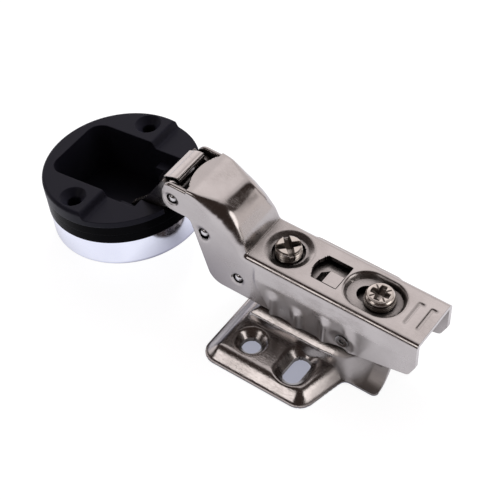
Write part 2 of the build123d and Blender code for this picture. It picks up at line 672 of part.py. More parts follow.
def make_outer_link():
    """Link folded from one sheet: two hooked cheeks and a back curled over the arm's rivet."""
    pivot = to_cup(*OUTER_PIVOT)
    pin = CUP_OUTER_PIN
    half, inner = OUTER_LINK_HALF, CHEEK_INNER
    knee = (20.84, 7.85)
    cheek_outline = [
        knee,
        (13.9, -0.6),
        (pin[0] - 2.4, pin[1] + 1.8),
        pin,
        (pin[0] + CUP_EYE_RADIUS, pin[1]),
        (RIM_INNER - 0.8, RIM_TOP + 0.7),
        (19.6, -1.5),
        (pivot[0], pivot[1] - CHEEK_EYE_RADIUS),
        pivot,
    ]
    cheek = side_polygon(cheek_outline, [0, 4, 0, 0, 0, 1.6, 6, 0, 0], inner, half)
    cheek += rod_y(*pivot, CHEEK_EYE_RADIUS, inner, half)
    cheek += rod_y(*pin, CUP_EYE_RADIUS, inner, half)
    hollow = CURL_RADIUS - CURL_SHEET
    reach = CURL_HALF
    curl = rod_y(*pivot, CURL_RADIUS, -reach, reach) - rod_y(*pivot, hollow, -reach, reach)
    fan = [pivot, (25.8, 13.0), (14.0, 13.0), (18.0, 9.5)]
    curl &= side_polygon(fan, [0, 0, 0, 0], -reach, reach)
    back = [knee, (18.4, 4.7), (19.4, 3.9), (21.87, 7.06)]
    link = mirrored_y(cheek) + curl + side_polygon(back, [0, 0, 0, 0], -half, half)
    link -= rod_y(*pivot, RIVET_RADIUS + RUNNING_CLEARANCE, -half - 1, half + 1)
    link -= rod_y(*pin, CUP_PIN_RADIUS + RUNNING_CLEARANCE, -half - 1, half + 1)
    return CUP_FRAME.location * link


def make_inner_link():
    """Hooked strap from the cup's inner pin over the rim to the open eye on the arm's rivet."""
    pivot = to_cup(*INNER_PIVOT)
    pin = CUP_INNER_PIN
    crest = RIM_TOP + 0.4 + INNER_LINK_SHEET / 2
    path = [pin, (RIM_INNER - 1.1, crest), (26.0, crest), pivot]
    left = parallel_path(path, INNER_LINK_SHEET / 2)
    right = parallel_path(path, -INNER_LINK_SHEET / 2)
    outline = left + right[::-1]
    radii = [0, 3.4, 3.0, 0, 0, 3.0, 1.6, 0]
    strap = side_polygon(outline, radii, -INNER_LINK_HALF, INNER_LINK_HALF)
    strap += rod_y(*pin, INNER_CUP_EYE, -INNER_LINK_HALF, INNER_LINK_HALF)
    strap += rod_y(*pivot, REAR_EYE_RADIUS, -REAR_EYE_HALF, REAR_EYE_HALF)
    strap -= rod_y(*pivot, REAR_EYE_BORE, -REAR_EYE_HALF - 1, REAR_EYE_HALF + 1)
    bore = CUP_INNER_PIN_RADIUS + RUNNING_CLEARANCE
    strap -= rod_y(*pin, bore, -REAR_EYE_HALF, REAR_EYE_HALF)
    return CUP_FRAME.location * strap


def make_rivet(x, z):
    """Solid rivet through both ears, its ends dished just below the ears' faces."""
    rivet = rod_y(x, z, RIVET_RADIUS, -ARM_HALF_WIDTH + 0.1, ARM_HALF_WIDTH - 0.1)
    dish = Pos(x, ARM_HALF_WIDTH, z) * Sphere(0.9)
    return rivet - mirrored_y(dish)


SLEEVE_RADIUS = RIVET_RADIUS + 0.8
SPRING_LOOSENESS = 0.15
SPRING_WIRE = 1.5
SPRING_HALF_WIDTH = 5.0
SPRING_LEG = 8.0
SPRING_LEG_INSET = 0.7


def make_spring_sleeve():
    """Plastic bush that carries the spring's coil on its rivet."""
    half = ARM_INNER - SIDE_CLEARANCE
    bore = RIVET_RADIUS + RUNNING_CLEARANCE
    sleeve = rod_y(*SPRING_PIVOT, SLEEVE_RADIUS, -half, half)
    return sleeve - rod_y(*SPRING_PIVOT, bore, -half, half)


def make_closing_spring():
    """Leg spring: one leg under the inner link's eye, the other under the arm's web."""
    x, z = SPRING_PIVOT
    half = SPRING_HALF_WIDTH
    inner = SLEEVE_RADIUS + SPRING_LOOSENESS
    outer = inner + SPRING_WIRE
    mean = (inner + outer) / 2
    leg = SPRING_WIRE / 2 - 0.1
    coil = rod_y(x, z, outer, -half, half) - rod_y(x, z, inner, -half, half)
    front = Plane(origin=(x, 0, z + mean), z_dir=(-0.995, 0, 0.1)).location
    for y in (SPRING_LEG_INSET - half, half - SPRING_LEG_INSET):
        coil += front * Pos(0, y, SPRING_LEG / 2) * Cylinder(leg, SPRING_LEG)
        coil += rod_z(x + mean, y, leg, z, WEB_UNDERSIDE - 0.9)
    return coil


# ---------------------------------------------------------------- cup
STEP_U = 3.0
LOWER_LEVEL = -2.0
GASKET_THICKNESS = 2.65
CAP_SHEET = 1.0
CAP_RADIUS = CUP_RADIUS - 0.2
CAP_BOTTOM = -17.2
BODY_BOTTOM = CAP_BOTTOM + CAP_SHEET + FREE_CLEARANCE
POCKET_BOTTOM = BODY_BOTTOM + 1.2
NOTCH_HALF = OUTER_LINK_HALF + FREE_CLEARANCE
BEARING_WIDTH = 3.2
CUP_POCKET_HALF = NOTCH_HALF + BEARING_WIDTH
CUP_POCKET_START = 2.5 - SPIGOT_RADIUS
CUP_POCKET_END = CUP_OUTER_PIN[0] + 1.7
CUP_POCKET_CORNER = 4.0
BEARING_TOP = CUP_OUTER_PIN[1] + CUP_PIN_RADIUS + FREE_CLEARANCE
PIN_END = CUP_POCKET_HALF + 1.7
CUP_SCREW_U = -3.0
CUP_SCREW_RADIUS = 1.8
POST_TOP = -9.0
POST_RADIUS = 2.9


def make_cup_body():
    """Moulded cup: stepped flange, spigot through the glass, pocket for the folded links."""
    flange = rod_z(0, 0, CUP_RADIUS, RIM_TOP, 0)
    flange = fillet(flange.edges().filter_by(GeomType.CIRCLE).group_by(Axis.Z)[-1], 0.9)
    steps = [
        (-CUP_RADIUS - 1, RIM_TOP),
        (-CUP_RADIUS - 1, 0.0),
        (STEP_U - 0.4, 0.0),
        (STEP_U + 0.4, LOWER_LEVEL),
        (CUP_RADIUS + 1, LOWER_LEVEL),
        (CUP_RADIUS + 1, RIM_TOP),
    ]
    body = flange & side_polygon(steps, [0, 0, 0.8, 0.8, 0, 0], -CUP_RADIUS - 1, CUP_RADIUS + 1)
    body += rod_z(0, 0, SPIGOT_RADIUS, BODY_BOTTOM, RIM_TOP)
    half = CUP_POCKET_HALF
    start, end = CUP_POCKET_START, CUP_POCKET_END
    pocket = [(start, -half), (end, -half), (end, half), (start, half)]
    corner = CUP_POCKET_CORNER
    body -= plan_polygon(pocket, [corner, 0.8, 0.8, corner], POCKET_BOTTOM, 1)
    bearing = box(5.2, CUP_POCKET_END + 0.5, NOTCH_HALF, half + 0.5, POCKET_BOTTOM, BEARING_TOP)
    body += mirrored_y(bearing)
    body -= box(5.0, RIM_INNER, -NOTCH_HALF, NOTCH_HALF, POCKET_BOTTOM, 1)
    body -= box(5.0, CUP_RADIUS + 1, -NOTCH_HALF, NOTCH_HALF, RIM_TOP, 1)
    seat = SEAT_CLEARANCE
    body -= rod_y(*CUP_OUTER_PIN, CUP_PIN_RADIUS + seat, -PIN_END, PIN_END)
    body -= rod_y(*CUP_INNER_PIN, CUP_INNER_PIN_RADIUS + seat, -PIN_END, PIN_END)
    for y in (-SCREW_SPACING / 2, SCREW_SPACING / 2):
        sink = 2 * CUP_SCREW_RADIUS
        body -= rod_z(CUP_SCREW_U, y, CUP_SCREW_RADIUS, BODY_BOTTOM - 1, 1)
        body -= cone_z(CUP_SCREW_U, y, CUP_SCREW_RADIUS, sink, CUP_SCREW_RADIUS - sink, 0)
        body -= rod_z(CUP_SCREW_U, y, POST_RADIUS + SIDE_CLEARANCE, BODY_BOTTOM - 1, POST_TOP)
    return CUP_FRAME.location * body


def make_gasket(z_high):
    """Flat ring that grips the glass."""
    z_low = z_high - GASKET_THICKNESS
    ring = rod_z(0, 0, CUP_RADIUS - RUNNING_CLEARANCE, z_low, z_high)
    ring -= rod_z(0, 0, SPIGOT_RADIUS + RUNNING_CLEARANCE, z_low, z_high)
    return CUP_FRAME.location * ring


def make_cover_cap():
    """Cast cover on the outside of the glass, with two tapped posts for the cup's screws."""
    rim = RIM_TOP - 2 * GASKET_THICKNESS
    cap = rod_z(0, 0, CAP_RADIUS, CAP_BOTTOM, rim)
    cap = fillet(cap.edges().filter_by(GeomType.CIRCLE).group_by(Axis.Z)[0], 1.4)
    cap -= rod_z(0, 0, CAP_RADIUS - CAP_SHEET, CAP_BOTTOM + CAP_SHEET, rim)
    for y in (-SCREW_SPACING / 2, SCREW_SPACING / 2):
        post = rod_z(CUP_SCREW_U, y, POST_RADIUS, CAP_BOTTOM + CAP_SHEET / 2, POST_TOP)
        cap += post - rod_z(CUP_SCREW_U, y, 1.5, CAP_BOTTOM + CAP_SHEET, POST_TOP)
    return CUP_FRAME.location * cap


def make_cup_outer_pins():
    """Two stub pins for the outer link's cheeks, one in each side of the cup."""
    stub = rod_y(*CUP_OUTER_PIN, CUP_PIN_RADIUS, CHEEK_INNER + 0.1, PIN_END)
    return CUP_FRAME.location * mirrored_y(stub)


def make_cup_inner_pin():
    """Pin right across the cup for the inner link."""
    return CUP_FRAME.location * rod_y(*CUP_INNER_PIN, CUP_INNER_PIN_RADIUS, -PIN_END, PIN_END)


# ---------------------------------------------------------------- export
parts = {
    "mounting_plate": make_mounting_plate(),
    "saddle": make_saddle(),
    "clamp_nut": make_clamp_nut(),
    "arm": make_arm(),
    "guide_channel": make_guide_channel(),
    "guide_rivets": make_guide_rivets(),
    "side_adjust_screw": make_side_adjust_screw(),
    "fixing_screw": make_fixing_screw(),
    "screw_collar": make_screw_collar(),
    "outer_link": make_outer_link(),
    "inner_link": make_inner_link(),
    "outer_link_rivet": make_rivet(*OUTER_PIVOT),
    "inner_link_rivet": make_rivet(*INNER_PIVOT),
    "spring_rivet": make_rivet(*SPRING_PIVOT),
    "spring_sleeve": make_spring_sleeve(),
    "closing_spring": make_closing_spring(),
    "cup_body": make_cup_body(),
    "cup_outer_pins": make_cup_outer_pins(),
    "cup_inner_pin": make_cup_inner_pin(),
    "upper_gasket": make_gasket(RIM_TOP),
    "lower_gasket": make_gasket(RIM_TOP - GASKET_THICKNESS),
    "cover_cap": make_cover_cap(),
}
for node, shape in parts.items():
    export_step(shape, f"parts/{node}.step")
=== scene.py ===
import json
import logging
from collections.abc import Callable
from dataclasses import dataclass
from enum import Enum

import bpy
import numpy as np
from mathutils import Matrix


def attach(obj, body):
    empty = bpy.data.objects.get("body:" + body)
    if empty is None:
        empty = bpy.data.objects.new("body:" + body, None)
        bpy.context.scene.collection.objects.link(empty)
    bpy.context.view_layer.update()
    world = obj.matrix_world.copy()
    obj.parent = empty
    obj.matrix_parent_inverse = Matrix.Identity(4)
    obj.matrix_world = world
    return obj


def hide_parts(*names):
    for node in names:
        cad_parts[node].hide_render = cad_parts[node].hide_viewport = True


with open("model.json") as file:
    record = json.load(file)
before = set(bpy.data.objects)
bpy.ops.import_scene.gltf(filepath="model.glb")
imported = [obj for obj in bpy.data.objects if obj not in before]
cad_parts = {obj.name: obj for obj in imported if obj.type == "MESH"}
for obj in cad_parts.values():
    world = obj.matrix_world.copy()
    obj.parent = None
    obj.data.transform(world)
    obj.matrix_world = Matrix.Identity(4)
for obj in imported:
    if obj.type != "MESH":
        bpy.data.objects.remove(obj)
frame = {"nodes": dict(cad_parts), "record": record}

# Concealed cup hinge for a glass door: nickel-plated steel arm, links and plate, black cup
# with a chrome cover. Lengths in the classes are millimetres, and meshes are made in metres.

MM = 0.001
log = logging.getLogger("cup_hinge")

Pair = tuple[float, float]
Triple = tuple[float, float, float]
Grid = np.ndarray
Object = bpy.types.Object
Material = bpy.types.Material
Socket = bpy.types.NodeSocket
Tree = bpy.types.NodeTree


class Slot(Enum):
    """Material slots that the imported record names."""

    NICKEL_PLATE = "nickel_plate"
    NICKEL_SCREW = "nickel_screw"
    BRIGHT_PIN = "bright_pin"
    SPRING_STEEL = "spring_steel"
    CHROME_COVER = "chrome_cover"
    BLACK_PLASTIC = "black_plastic"
    BLACK_GASKET = "black_gasket"
    SLEEVE_PLASTIC = "sleeve_plastic"


# ---------------- colour and nodes
def linear(code: str) -> tuple[float, float, float, float]:
    """Turns an sRGB hex colour into linear values.

    Args:
        code: colour such as "#C8BEB9".

    Returns:
        Linear red, green, blue and an alpha of one.
    """
    parts = np.array([int(code[i : i + 2], 16) for i in (1, 3, 5)]) / 255
    low = parts / 12.92
    high = ((parts + 0.055) / 1.055) ** 2.4
    red, green, blue = np.where(parts <= 0.04045, low, high)
    return float(red), float(green), float(blue), 1.0


def add_node(
    tree: Tree,
    kind: str,
    inputs: dict[str | int, object] | None = None,
    out: str | int = 0,
    **settings: object,
) -> Socket | None:
    """Adds one node with its settings and links.

    Args:
        tree: node tree that gets the node.
        kind: type name after "ShaderNode".
        inputs: socket name or place, with a constant or the output socket that feeds it.
        out: output that is wanted.
        **settings: properties of the node itself.

    Returns:
        The wanted output socket, or None for a node that has no outputs.
    """
    node = tree.nodes.new("ShaderNode" + kind)
    for name, value in settings.items():
        setattr(node, name, value)
    for key, value in (inputs or {}).items():
        if isinstance(value, Socket):
            tree.links.new(value, node.inputs[key])
        else:
            node.inputs[key].default_value = value
    return node.outputs[out] if node.outputs else None


def span(value: Socket, source: Pair, target: Pair = (0, 1)) -> dict[int, object]:
    """Inputs of a MapRange that takes a value from one span to another, clamped."""
    return {0: value, 1: source[0], 2: source[1], 3: target[0], 4: target[1]}


def noise(place: Socket, size: float, detail: float = 2.0) -> dict[str, object]:
    """Inputs of a noise whose features are about size millimetres across."""
    return {"Vector": place, "Scale": 1 / (size * MM), "Detail": detail, "Roughness": 0.55}


def blend(share: Socket, first: object, second: object) -> dict[int, object]:
    """Inputs of a colour Mix between two colours."""
    return {0: share, 6: first, 7: second}


MIX = {"data_type": "RGBA", "out": 2}


# ---------------- finishes
@dataclass(frozen=True)
class Finish:
    """What every finish has: a name, two colours, and a gloss that drifts over the piece."""

    name: str
    colour: str
    shade: str
    roughness: Pair
    cloud: float  # mm, slow change of gloss over the piece
    grain: float  # mm, finest pattern, drawn coarse enough to show
    grain_depth: float  # mm
    edge: float  # mm, radius of broken edges
    cloud_span: Pair  # values of the slow noise between which the shade comes in
    cloud_shade: float  # most of the shade that is mixed in

    def start(self) -> tuple[Material, Socket, Socket, Socket]:
        """Makes the material.

        Returns:
            The material, the place on the piece, its drifting roughness and its two colours mixed.
        """
        material = bpy.data.materials.new(self.name)
        material.use_nodes = True
        tree = material.node_tree
        place = add_node(tree, "TexCoord", out="Object")
        cloud = add_node(tree, "TexNoise", noise(place, self.cloud, 3.0))
        rough = add_node(tree, "MapRange", span(cloud, (0.3, 0.7), self.roughness))
        share = add_node(tree, "MapRange", span(cloud, self.cloud_span, (0, self.cloud_shade)))
        colour = blend(share, linear(self.colour), linear(self.shade))
        return material, place, rough, add_node(tree, "Mix", colour, **MIX)

    def wire(
        self, material: Material, rough: Socket,
        colour: Socket, bumps: list[tuple[Socket, float]],
    ) -> None:
        """Links the patterns to the shader.

        Args:
            material: the material.
            rough: roughness.
            colour: base colour.
            bumps: heights with their depths in millimetres, laid over the broken edges.
        """
        tree = material.node_tree
        normal = add_node(tree, "Bevel", {"Radius": self.edge * MM}, samples=6)
        for height, depth in bumps:
            inputs = {"Height": height, "Distance": depth * MM, "Normal": normal}
            normal = add_node(tree, "Bump", inputs)
        sockets = tree.nodes["Principled BSDF"].inputs
        for name, output in (("Roughness", rough), ("Base Color", colour), ("Normal", normal)):
            tree.links.new(output, sockets[name])


@dataclass(frozen=True)
class NickelPlate(Finish):
    """Bright nickel on pressed steel: warm grey mirror blurred by the sheet's own grain.

    Corners and hollows get a painted brown shade and a duller gloss, and a part of the sheet can
    be matt.
    """

    name: str = "nickel_plate_on_steel"
    colour: str = "#BDB8B6"
    shade: str = "#ACA5A2"
    roughness: Pair = (0.13, 0.27)
    cloud: float = 7.0
    grain: float = 0.45  # rolled grain, really about 0.05
    grain_depth: float = 0.0035
    edge: float = 0.16
    cloud_span: Pair = (0.35, 0.8)
    cloud_shade: float = 0.35
    run: Triple = (0.35, 1.0, 1.0)  # rolled grain runs along X
    ripple: float = 2.6  # mm, faint waviness left by the press
    ripple_depth: float = 0.012  # mm
    speckle: Pair = (-0.03, 0.06)  # roughness that the grain adds
    # painted shade: dark brown laid into sheltered corners and hollows, where shade falls
    painted_hollow_shade: str = "#1E1814"
    shelter_reach: float = 6.5  # mm, how far from a corner or hollow the painted shade and the dulling reach
    shelter_span: Pair = (0.25, 0.85)  # openness that is fully shaded and dull, and openness that is unshaded and clear
    dulling: float = 0.3  # roughness that full shelter adds
    worn_below: float = 0.0  # mm, height under which the rear of the piece is matt from wear
    worn_from: float = -6.0  # mm, where that matt part starts along X
    worn_more: float = 0.13  # roughness that it adds

    def make(self) -> Material:
        """Builds the material."""
        material, place, rough, colour = self.start()
        tree = material.node_tree
        run = add_node(tree, "Mapping", {"Vector": place, "Scale": self.run})
        grain = add_node(tree, "TexNoise", noise(run, self.grain))
        ripple = add_node(tree, "TexNoise", noise(place, self.ripple, 1.0))
        reach = {"Distance": self.shelter_reach * MM}
        shelter = add_node(tree, "AmbientOcclusion", reach, out="AO", samples=6)
        open_share = add_node(tree, "MapRange", span(shelter, self.shelter_span))
        more = [
            add_node(tree, "MapRange", span(grain, (0.35, 0.75), self.speckle)),
            add_node(tree, "MapRange", span(open_share, (0, 1), (self.dulling, 0))),
        ]
        if self.worn_below:
            level, start = self.worn_below * MM, self.worn_from * MM
            height = add_node(tree, "SeparateXYZ", {0: place}, out="Z")
            along = add_node(tree, "SeparateXYZ", {0: place}, out="X")
            low = span(height, (level, level + 1.5 * MM), (self.worn_more, 0))
            rear = span(along, (start, start + 2.5 * MM))
            both = {0: add_node(tree, "MapRange", low), 1: add_node(tree, "MapRange", rear)}
            more.append(add_node(tree, "Math", both, operation="MULTIPLY"))
        for extra in more:
            rough = add_node(tree, "Math", {0: rough, 1: extra}, operation="ADD")
        # painted shade: the colour goes towards the dark brown where the surface is sheltered
        colour = add_node(tree, "Mix", blend(open_share, linear(self.painted_hollow_shade), colour), **MIX)
        bumps = [(ripple, self.ripple_depth), (grain, self.grain_depth)]
        self.wire(material, rough, colour, bumps)
        tree.nodes["Principled BSDF"].inputs["Metallic"].default_value = 1.0
        return material


@dataclass(frozen=True)
class MouldedPlastic(Finish):
    """Moulded plastic: even satin skin with a fine grain from the mould."""

    name: str = "moulded_black_abs"
    colour: str = "#22222C"
    shade: str = "#2A2A34"
    roughness: Pair = (0.32, 0.46)
    cloud: float = 9.0
    grain: float = 0.5  # mould grain, really about 0.1
    grain_depth: float = 0.004
    edge: float = 0.3
    cloud_span: Pair = (0.5, 0.85)
    cloud_shade: float = 0.5
    gloss: float = 0.08  # specular level

    def make(self) -> Material:
        """Builds the material."""
        material, place, rough, colour = self.start()
        tree = material.node_tree
        grain = add_node(tree, "TexNoise", noise(place, self.grain))
        self.wire(material, rough, colour, [(grain, self.grain_depth)])
        tree.nodes["Principled BSDF"].inputs["Specular IOR Level"].default_value = self.gloss
        return material


# ---------------- studio
@dataclass(frozen=True)
class SoftBox:
    """Round glow in the surround: where it lies, its half angles in degrees and its light."""

    aim: Triple
    inner: float
    outer: float
    colour: str = "#FFF8F8"
    power: float = 1.0


@dataclass
class Studio:
    """Camera, floor and lamp round the hinge."""

    azimuth: float = 34.842
    elevation: float = 48.868
    roll: float = -0.107
    position: Triple = (154.8, -239.0, 348.9)
    focal_pixels: float = 1739.95
    frame_pixels: float = 500.0
    sensor: float = 36.0
    floor_size: float = 3000.0
    floor_level: float = -0.2
    floor_colour: str = "#8C8C90"
    floor_white: str = "#F6F6F6"  # seen by the camera
    floor_close_shadow: str = "#74768A"  # painted shadow seen by the camera close under a piece
    close_reach: float = 5.0
    close_span: Pair = (0.3, 0.5)
    floor_hole_shadow: str = "#9A9CAA"  # painted shadow seen through the plate's holes
    under_place: Triple = (0.007, -0.0256, 0.0)  # m, after the squeeze
    under_squeeze: Triple = (1.0, 1.6, 1.0)
    under_fade: Pair = (0.0100, 0.0115)  # m
    floor_glow: str = "#EEEEF4"  # seen in the metal
    floor_bounce: str = "#77777E"  # seen by matt surfaces
    floor_shade: str = "#3E3A3C"  # in the metal, under a piece
    shade_reach: float = 14.0
    shade_span: Pair = (0.1, 0.9)
    floor_shade_patch: str = "#8C8B98"  # painted shade in the metal, between cup and arm
    patch_place: Triple = (-0.028, -0.002, 0.0)  # m
    patch_fade: Pair = (0.010, 0.026)  # m
    floor_fade: Pair = (0.12, 0.40)  # m, into the dark room at the near side
    front_fade: Pair = (0.0, 0.1)  # m along Y
    room_colour: str = "#3C322E"
    lamp_place: Triple = (-300.0, 620.0, 720.0)
    lamp_size: float = 300.0
    lamp_power: float = 3.0
    boxes: tuple[SoftBox, ...] = (
        SoftBox((-0.30, 0.62, 0.72), 30.0, 42.0, power=0.86),
        SoftBox((-0.20, 0.58, 0.79), 4.0, 16.0, power=1.2),
        SoftBox((-0.80, 0.54, 0.28), 12.0, 20.0, power=1.3),
        SoftBox((-0.38, 0.92, 0.10), 14.0, 24.0),
        SoftBox((0.25, 0.95, 0.12), 16.0, 26.0),
        SoftBox((0.80, 0.54, 0.18), 11.0, 17.0, "#F4ECEA"),
        SoftBox((0.88, 0.13, 0.46), 13.0, 19.0, "#FFFAF8", 2.0),
        SoftBox((-0.36, -0.78, 0.50), 8.0, 13.0, "#F4EEEC", 2.1),
        SoftBox((-0.97, -0.18, 0.14), 12.0, 20.0),
    )

    def build(self) -> None:
        """Makes everything that isn't the hinge."""
        bpy.context.scene.view_settings.view_transform = "Standard"
        self.camera()
        self.world()
        self.floor()
        self.lamp()

    def camera(self) -> None:
        """Sets the camera: right, up and back are the columns of its turn."""
        azimuth, elevation, roll = np.radians([self.azimuth, self.elevation, self.roll])
        right = np.array([np.cos(azimuth), np.sin(azimuth), 0.0])
        back = np.array([
            np.sin(azimuth) * np.cos(elevation),
            -np.cos(azimuth) * np.cos(elevation),
            np.sin(elevation),
        ])
        up = np.cross(back, right)
        turned_right = right * np.cos(roll) + up * np.sin(roll)
        turned_up = up * np.cos(roll) - right * np.sin(roll)
        data = bpy.data.cameras.new("camera")
        data.sensor_width = self.sensor
        data.lens = self.focal_pixels / self.frame_pixels * self.sensor
        data.clip_start = 0.01
        camera = bpy.data.objects.new("camera", data)
        self.stand(camera, [turned_right, turned_up, back], self.position)
        bpy.context.scene.camera = camera

    def stand(self, thing: Object, axes: list[Grid], spot: Triple) -> None:
        """Puts the camera or the lamp in its place: its axes are the columns of its turn."""
        place = np.eye(4)
        place[:3, :3] = np.column_stack(axes)
        place[:3, 3] = np.array(spot) * MM
        thing.matrix_world = Matrix(place.tolist())
        bpy.context.scene.collection.objects.link(thing)

    def world(self) -> None:
        """Surround: soft boxes in a dark room, and white wherever the camera looks past them."""
        world = bpy.data.worlds.new("surround")
        world.use_nodes = True
        tree = world.node_tree
        tree.nodes.clear()
        direction = add_node(tree, "TexCoord", out="Generated")
        colour = linear(self.room_colour)
        for box in self.boxes:
            aim = np.array(box.aim) / np.linalg.norm(box.aim)
            axes = {0: direction, 1: aim.tolist()}
            near = add_node(tree, "VectorMath", axes, out="Value", operation="DOT_PRODUCT")
            inner, outer = np.cos(np.radians([box.inner, box.outer]))
            share = add_node(tree, "MapRange", span(near, (outer, inner)))
            light = [box.power * value for value in linear(box.colour)[:3]] + [1.0]
            colour = add_node(tree, "Mix", blend(share, colour, light), **MIX)
        seen = add_node(tree, "LightPath", out="Is Camera Ray")
        colour = add_node(tree, "Mix", blend(seen, colour, (1, 1, 1, 1)), **MIX)
        surround = add_node(tree, "Background", {"Color": colour, "Strength": 1.0})
        add_node(tree, "OutputWorld", {"Surface": surround})
        bpy.context.scene.world = world

    def floor(self) -> None:
        """Pale card under the hinge: white to the eye, a little grey in reflections."""
        half = self.floor_size / 2 * MM
        corners = [(-half, -half, 0), (half, -half, 0), (half, half, 0), (-half, half, 0)]
        mesh = bpy.data.meshes.new("floor")
        mesh.from_pydata(corners, [], [(0, 1, 2, 3)])
        floor = bpy.data.objects.new("floor", mesh)
        floor.location.z = self.floor_level * MM
        bpy.context.scene.collection.objects.link(floor)
        material = bpy.data.materials.new("matt_white_card")
        material.use_nodes = True
        tree = material.node_tree
        tree.nodes.clear()
        seen = add_node(tree, "Mix", self.floor_light(tree), **MIX)
        card = add_node(tree, "BsdfDiffuse", {"Color": linear(self.floor_colour)})
        light = add_node(tree, "Emission", {"Color": seen, "Strength": 1.0})
        both = add_node(tree, "AddShader", {0: card, 1: light})
        add_node(tree, "OutputMaterial", {"Surface": both})
        mesh.materials.append(material)

    def floor_light(self, tree: Tree) -> dict[int, object]:
        """Light of the card: one in the metal and on matt surfaces, another to the camera, both
        with painted shadow near the pieces.

        Args:
            tree: node tree of the card.

        Returns:
            Inputs of the Mix that chooses between them.
        """
        place = add_node(tree, "NewGeometry", out="Position")
        reach = add_node(tree, "VectorMath", {0: place}, out="Value", operation="LENGTH")
        depth = add_node(tree, "SeparateXYZ", {0: place}, out="Y")
        both = {
            0: add_node(tree, "MapRange", span(reach, self.floor_fade)),
            1: add_node(tree, "MapRange", span(depth, self.front_fade, (1, 0))),
        }
        far = add_node(tree, "Math", both, operation="MULTIPLY")
        away = {0: place, 1: self.patch_place}
        away = add_node(tree, "VectorMath", away, out="Value", operation="DISTANCE")
        patch = add_node(tree, "MapRange", span(away, self.patch_fade, (1, 0)))
        matt = add_node(tree, "LightPath", out="Is Diffuse Ray")
        around = {"Distance": self.shade_reach * MM}
        around = add_node(tree, "AmbientOcclusion", around, out="AO", samples=8)
        shade = add_node(tree, "MapRange", span(around, self.shade_span, (1, 0)))
        glow = linear(self.floor_glow)
        # reflected light of the card, with painted shade between cup and arm and under pieces
        for share, other in (
            (far, self.room_colour),
            (patch, self.floor_shade_patch),
            (matt, self.floor_bounce),
            (shade, self.floor_shade),
        ):
            glow = add_node(tree, "Mix", blend(share, glow, linear(other)), **MIX)
        # painted shadow to the camera: darker close under pieces and through the plate's holes
        close = {"Distance": self.close_reach * MM}
        close = add_node(tree, "AmbientOcclusion", close, out="AO", samples=8)
        squeezed = add_node(tree, "Mapping", {"Vector": place, "Scale": self.under_squeeze})
        apart = {0: squeezed, 1: self.under_place}
        apart = add_node(tree, "VectorMath", apart, out="Value", operation="DISTANCE")
        white = linear(self.floor_white)
        for value, fade, other in (
            (close, self.close_span, self.floor_close_shadow),
            (apart, self.under_fade, self.floor_hole_shadow),
        ):
            share = add_node(tree, "MapRange", span(value, fade, (1, 0)))
            white = add_node(tree, "Mix", blend(share, white, linear(other)), **MIX)
        return blend(add_node(tree, "LightPath", out="Is Camera Ray"), glow, white)

    def lamp(self) -> None:
        """Adds the soft box over the back, which the metal doesn't mirror."""
        data = bpy.data.lights.new("back_box", "AREA")
        data.shape = "SQUARE"
        data.size = self.lamp_size * MM
        data.energy = self.lamp_power
        lamp = bpy.data.objects.new("back_box", data)
        back = np.array(self.lamp_place) / np.linalg.norm(self.lamp_place)
        side = np.cross(-back, [0.0, 0.0, 1.0])
        side /= np.linalg.norm(side)
        self.stand(lamp, [side, np.cross(side, -back), back], self.lamp_place)
        lamp.visible_glossy = False


# ---------------- surfaces
Distance = Callable[[Grid, Grid], Grid]
SHARP_ANGLE = 38.0  # degrees between faces, past which an edge stays sharp


def ease(value: Grid, start: float, end: float) -> Grid:
    """Share from 0 at start to 1 at end, with level ends: 3t^2 - 2t^3."""
    share = np.clip((value - start) / (end - start), 0, 1)
    return share * share * (3 - 2 * share)


def soft_min(first: Grid, second: Grid, width: float) -> Grid:
    """Smaller of two values, with a round of the given width where they meet."""
    share = np.clip(0.5 + (second - first) / (2 * width), 0, 1)
    return second + (first - second) * share - width * share * (1 - share)


def soft_max(first: Grid, second: Grid, width: float) -> Grid:
    """Larger of two values, with a round of the given width where they meet."""
    return -soft_min(-first, -second, width)


def slot_distance(x: Grid, y: Grid, centre: Pair, half: Pair) -> Grid:
    """Distance to a straight line whose half lengths along X and Y are given."""
    return np.maximum(box_distance(x, y, centre, half), 0)


def box_distance(x: Grid, y: Grid, centre: Pair, half: Pair) -> Grid:
    """Signed distance to a rectangle, negative inside."""
    across = np.abs(x - centre[0]) - half[0]
    along = np.abs(y - centre[1]) - half[1]
    outside = np.hypot(np.maximum(across, 0), np.maximum(along, 0))
    return outside + np.minimum(np.maximum(across, along), 0)


def polygon_distance(x: Grid, y: Grid, corners: Grid) -> Grid:
    """Signed distance to a closed polygon, negative inside."""
    nearest = np.full(x.shape, np.inf)
    inside = np.zeros(x.shape, dtype=bool)
    for start, end in zip(corners, np.roll(corners, -1, axis=0)):
        run = end - start
        share = ((x - start[0]) * run[0] + (y - start[1]) * run[1]) / (run @ run)
        share = np.clip(share, 0, 1)
        gap = np.hypot(x - start[0] - share * run[0], y - start[1] - share * run[1])
        nearest = np.minimum(nearest, gap)
        crosses = (start[1] > y) != (end[1] > y)
        rise = end[1] - start[1] if end[1] != start[1] else 1.0
        inside ^= crosses & (x < start[0] + (y - start[1]) * run[0] / rise)
    return np.where(inside, -nearest, nearest)


def steps(*runs: Triple) -> Grid:
    """Places along an axis: each run is its start, its end and the step between."""
    return np.concatenate([np.arange(*run) for run in runs])


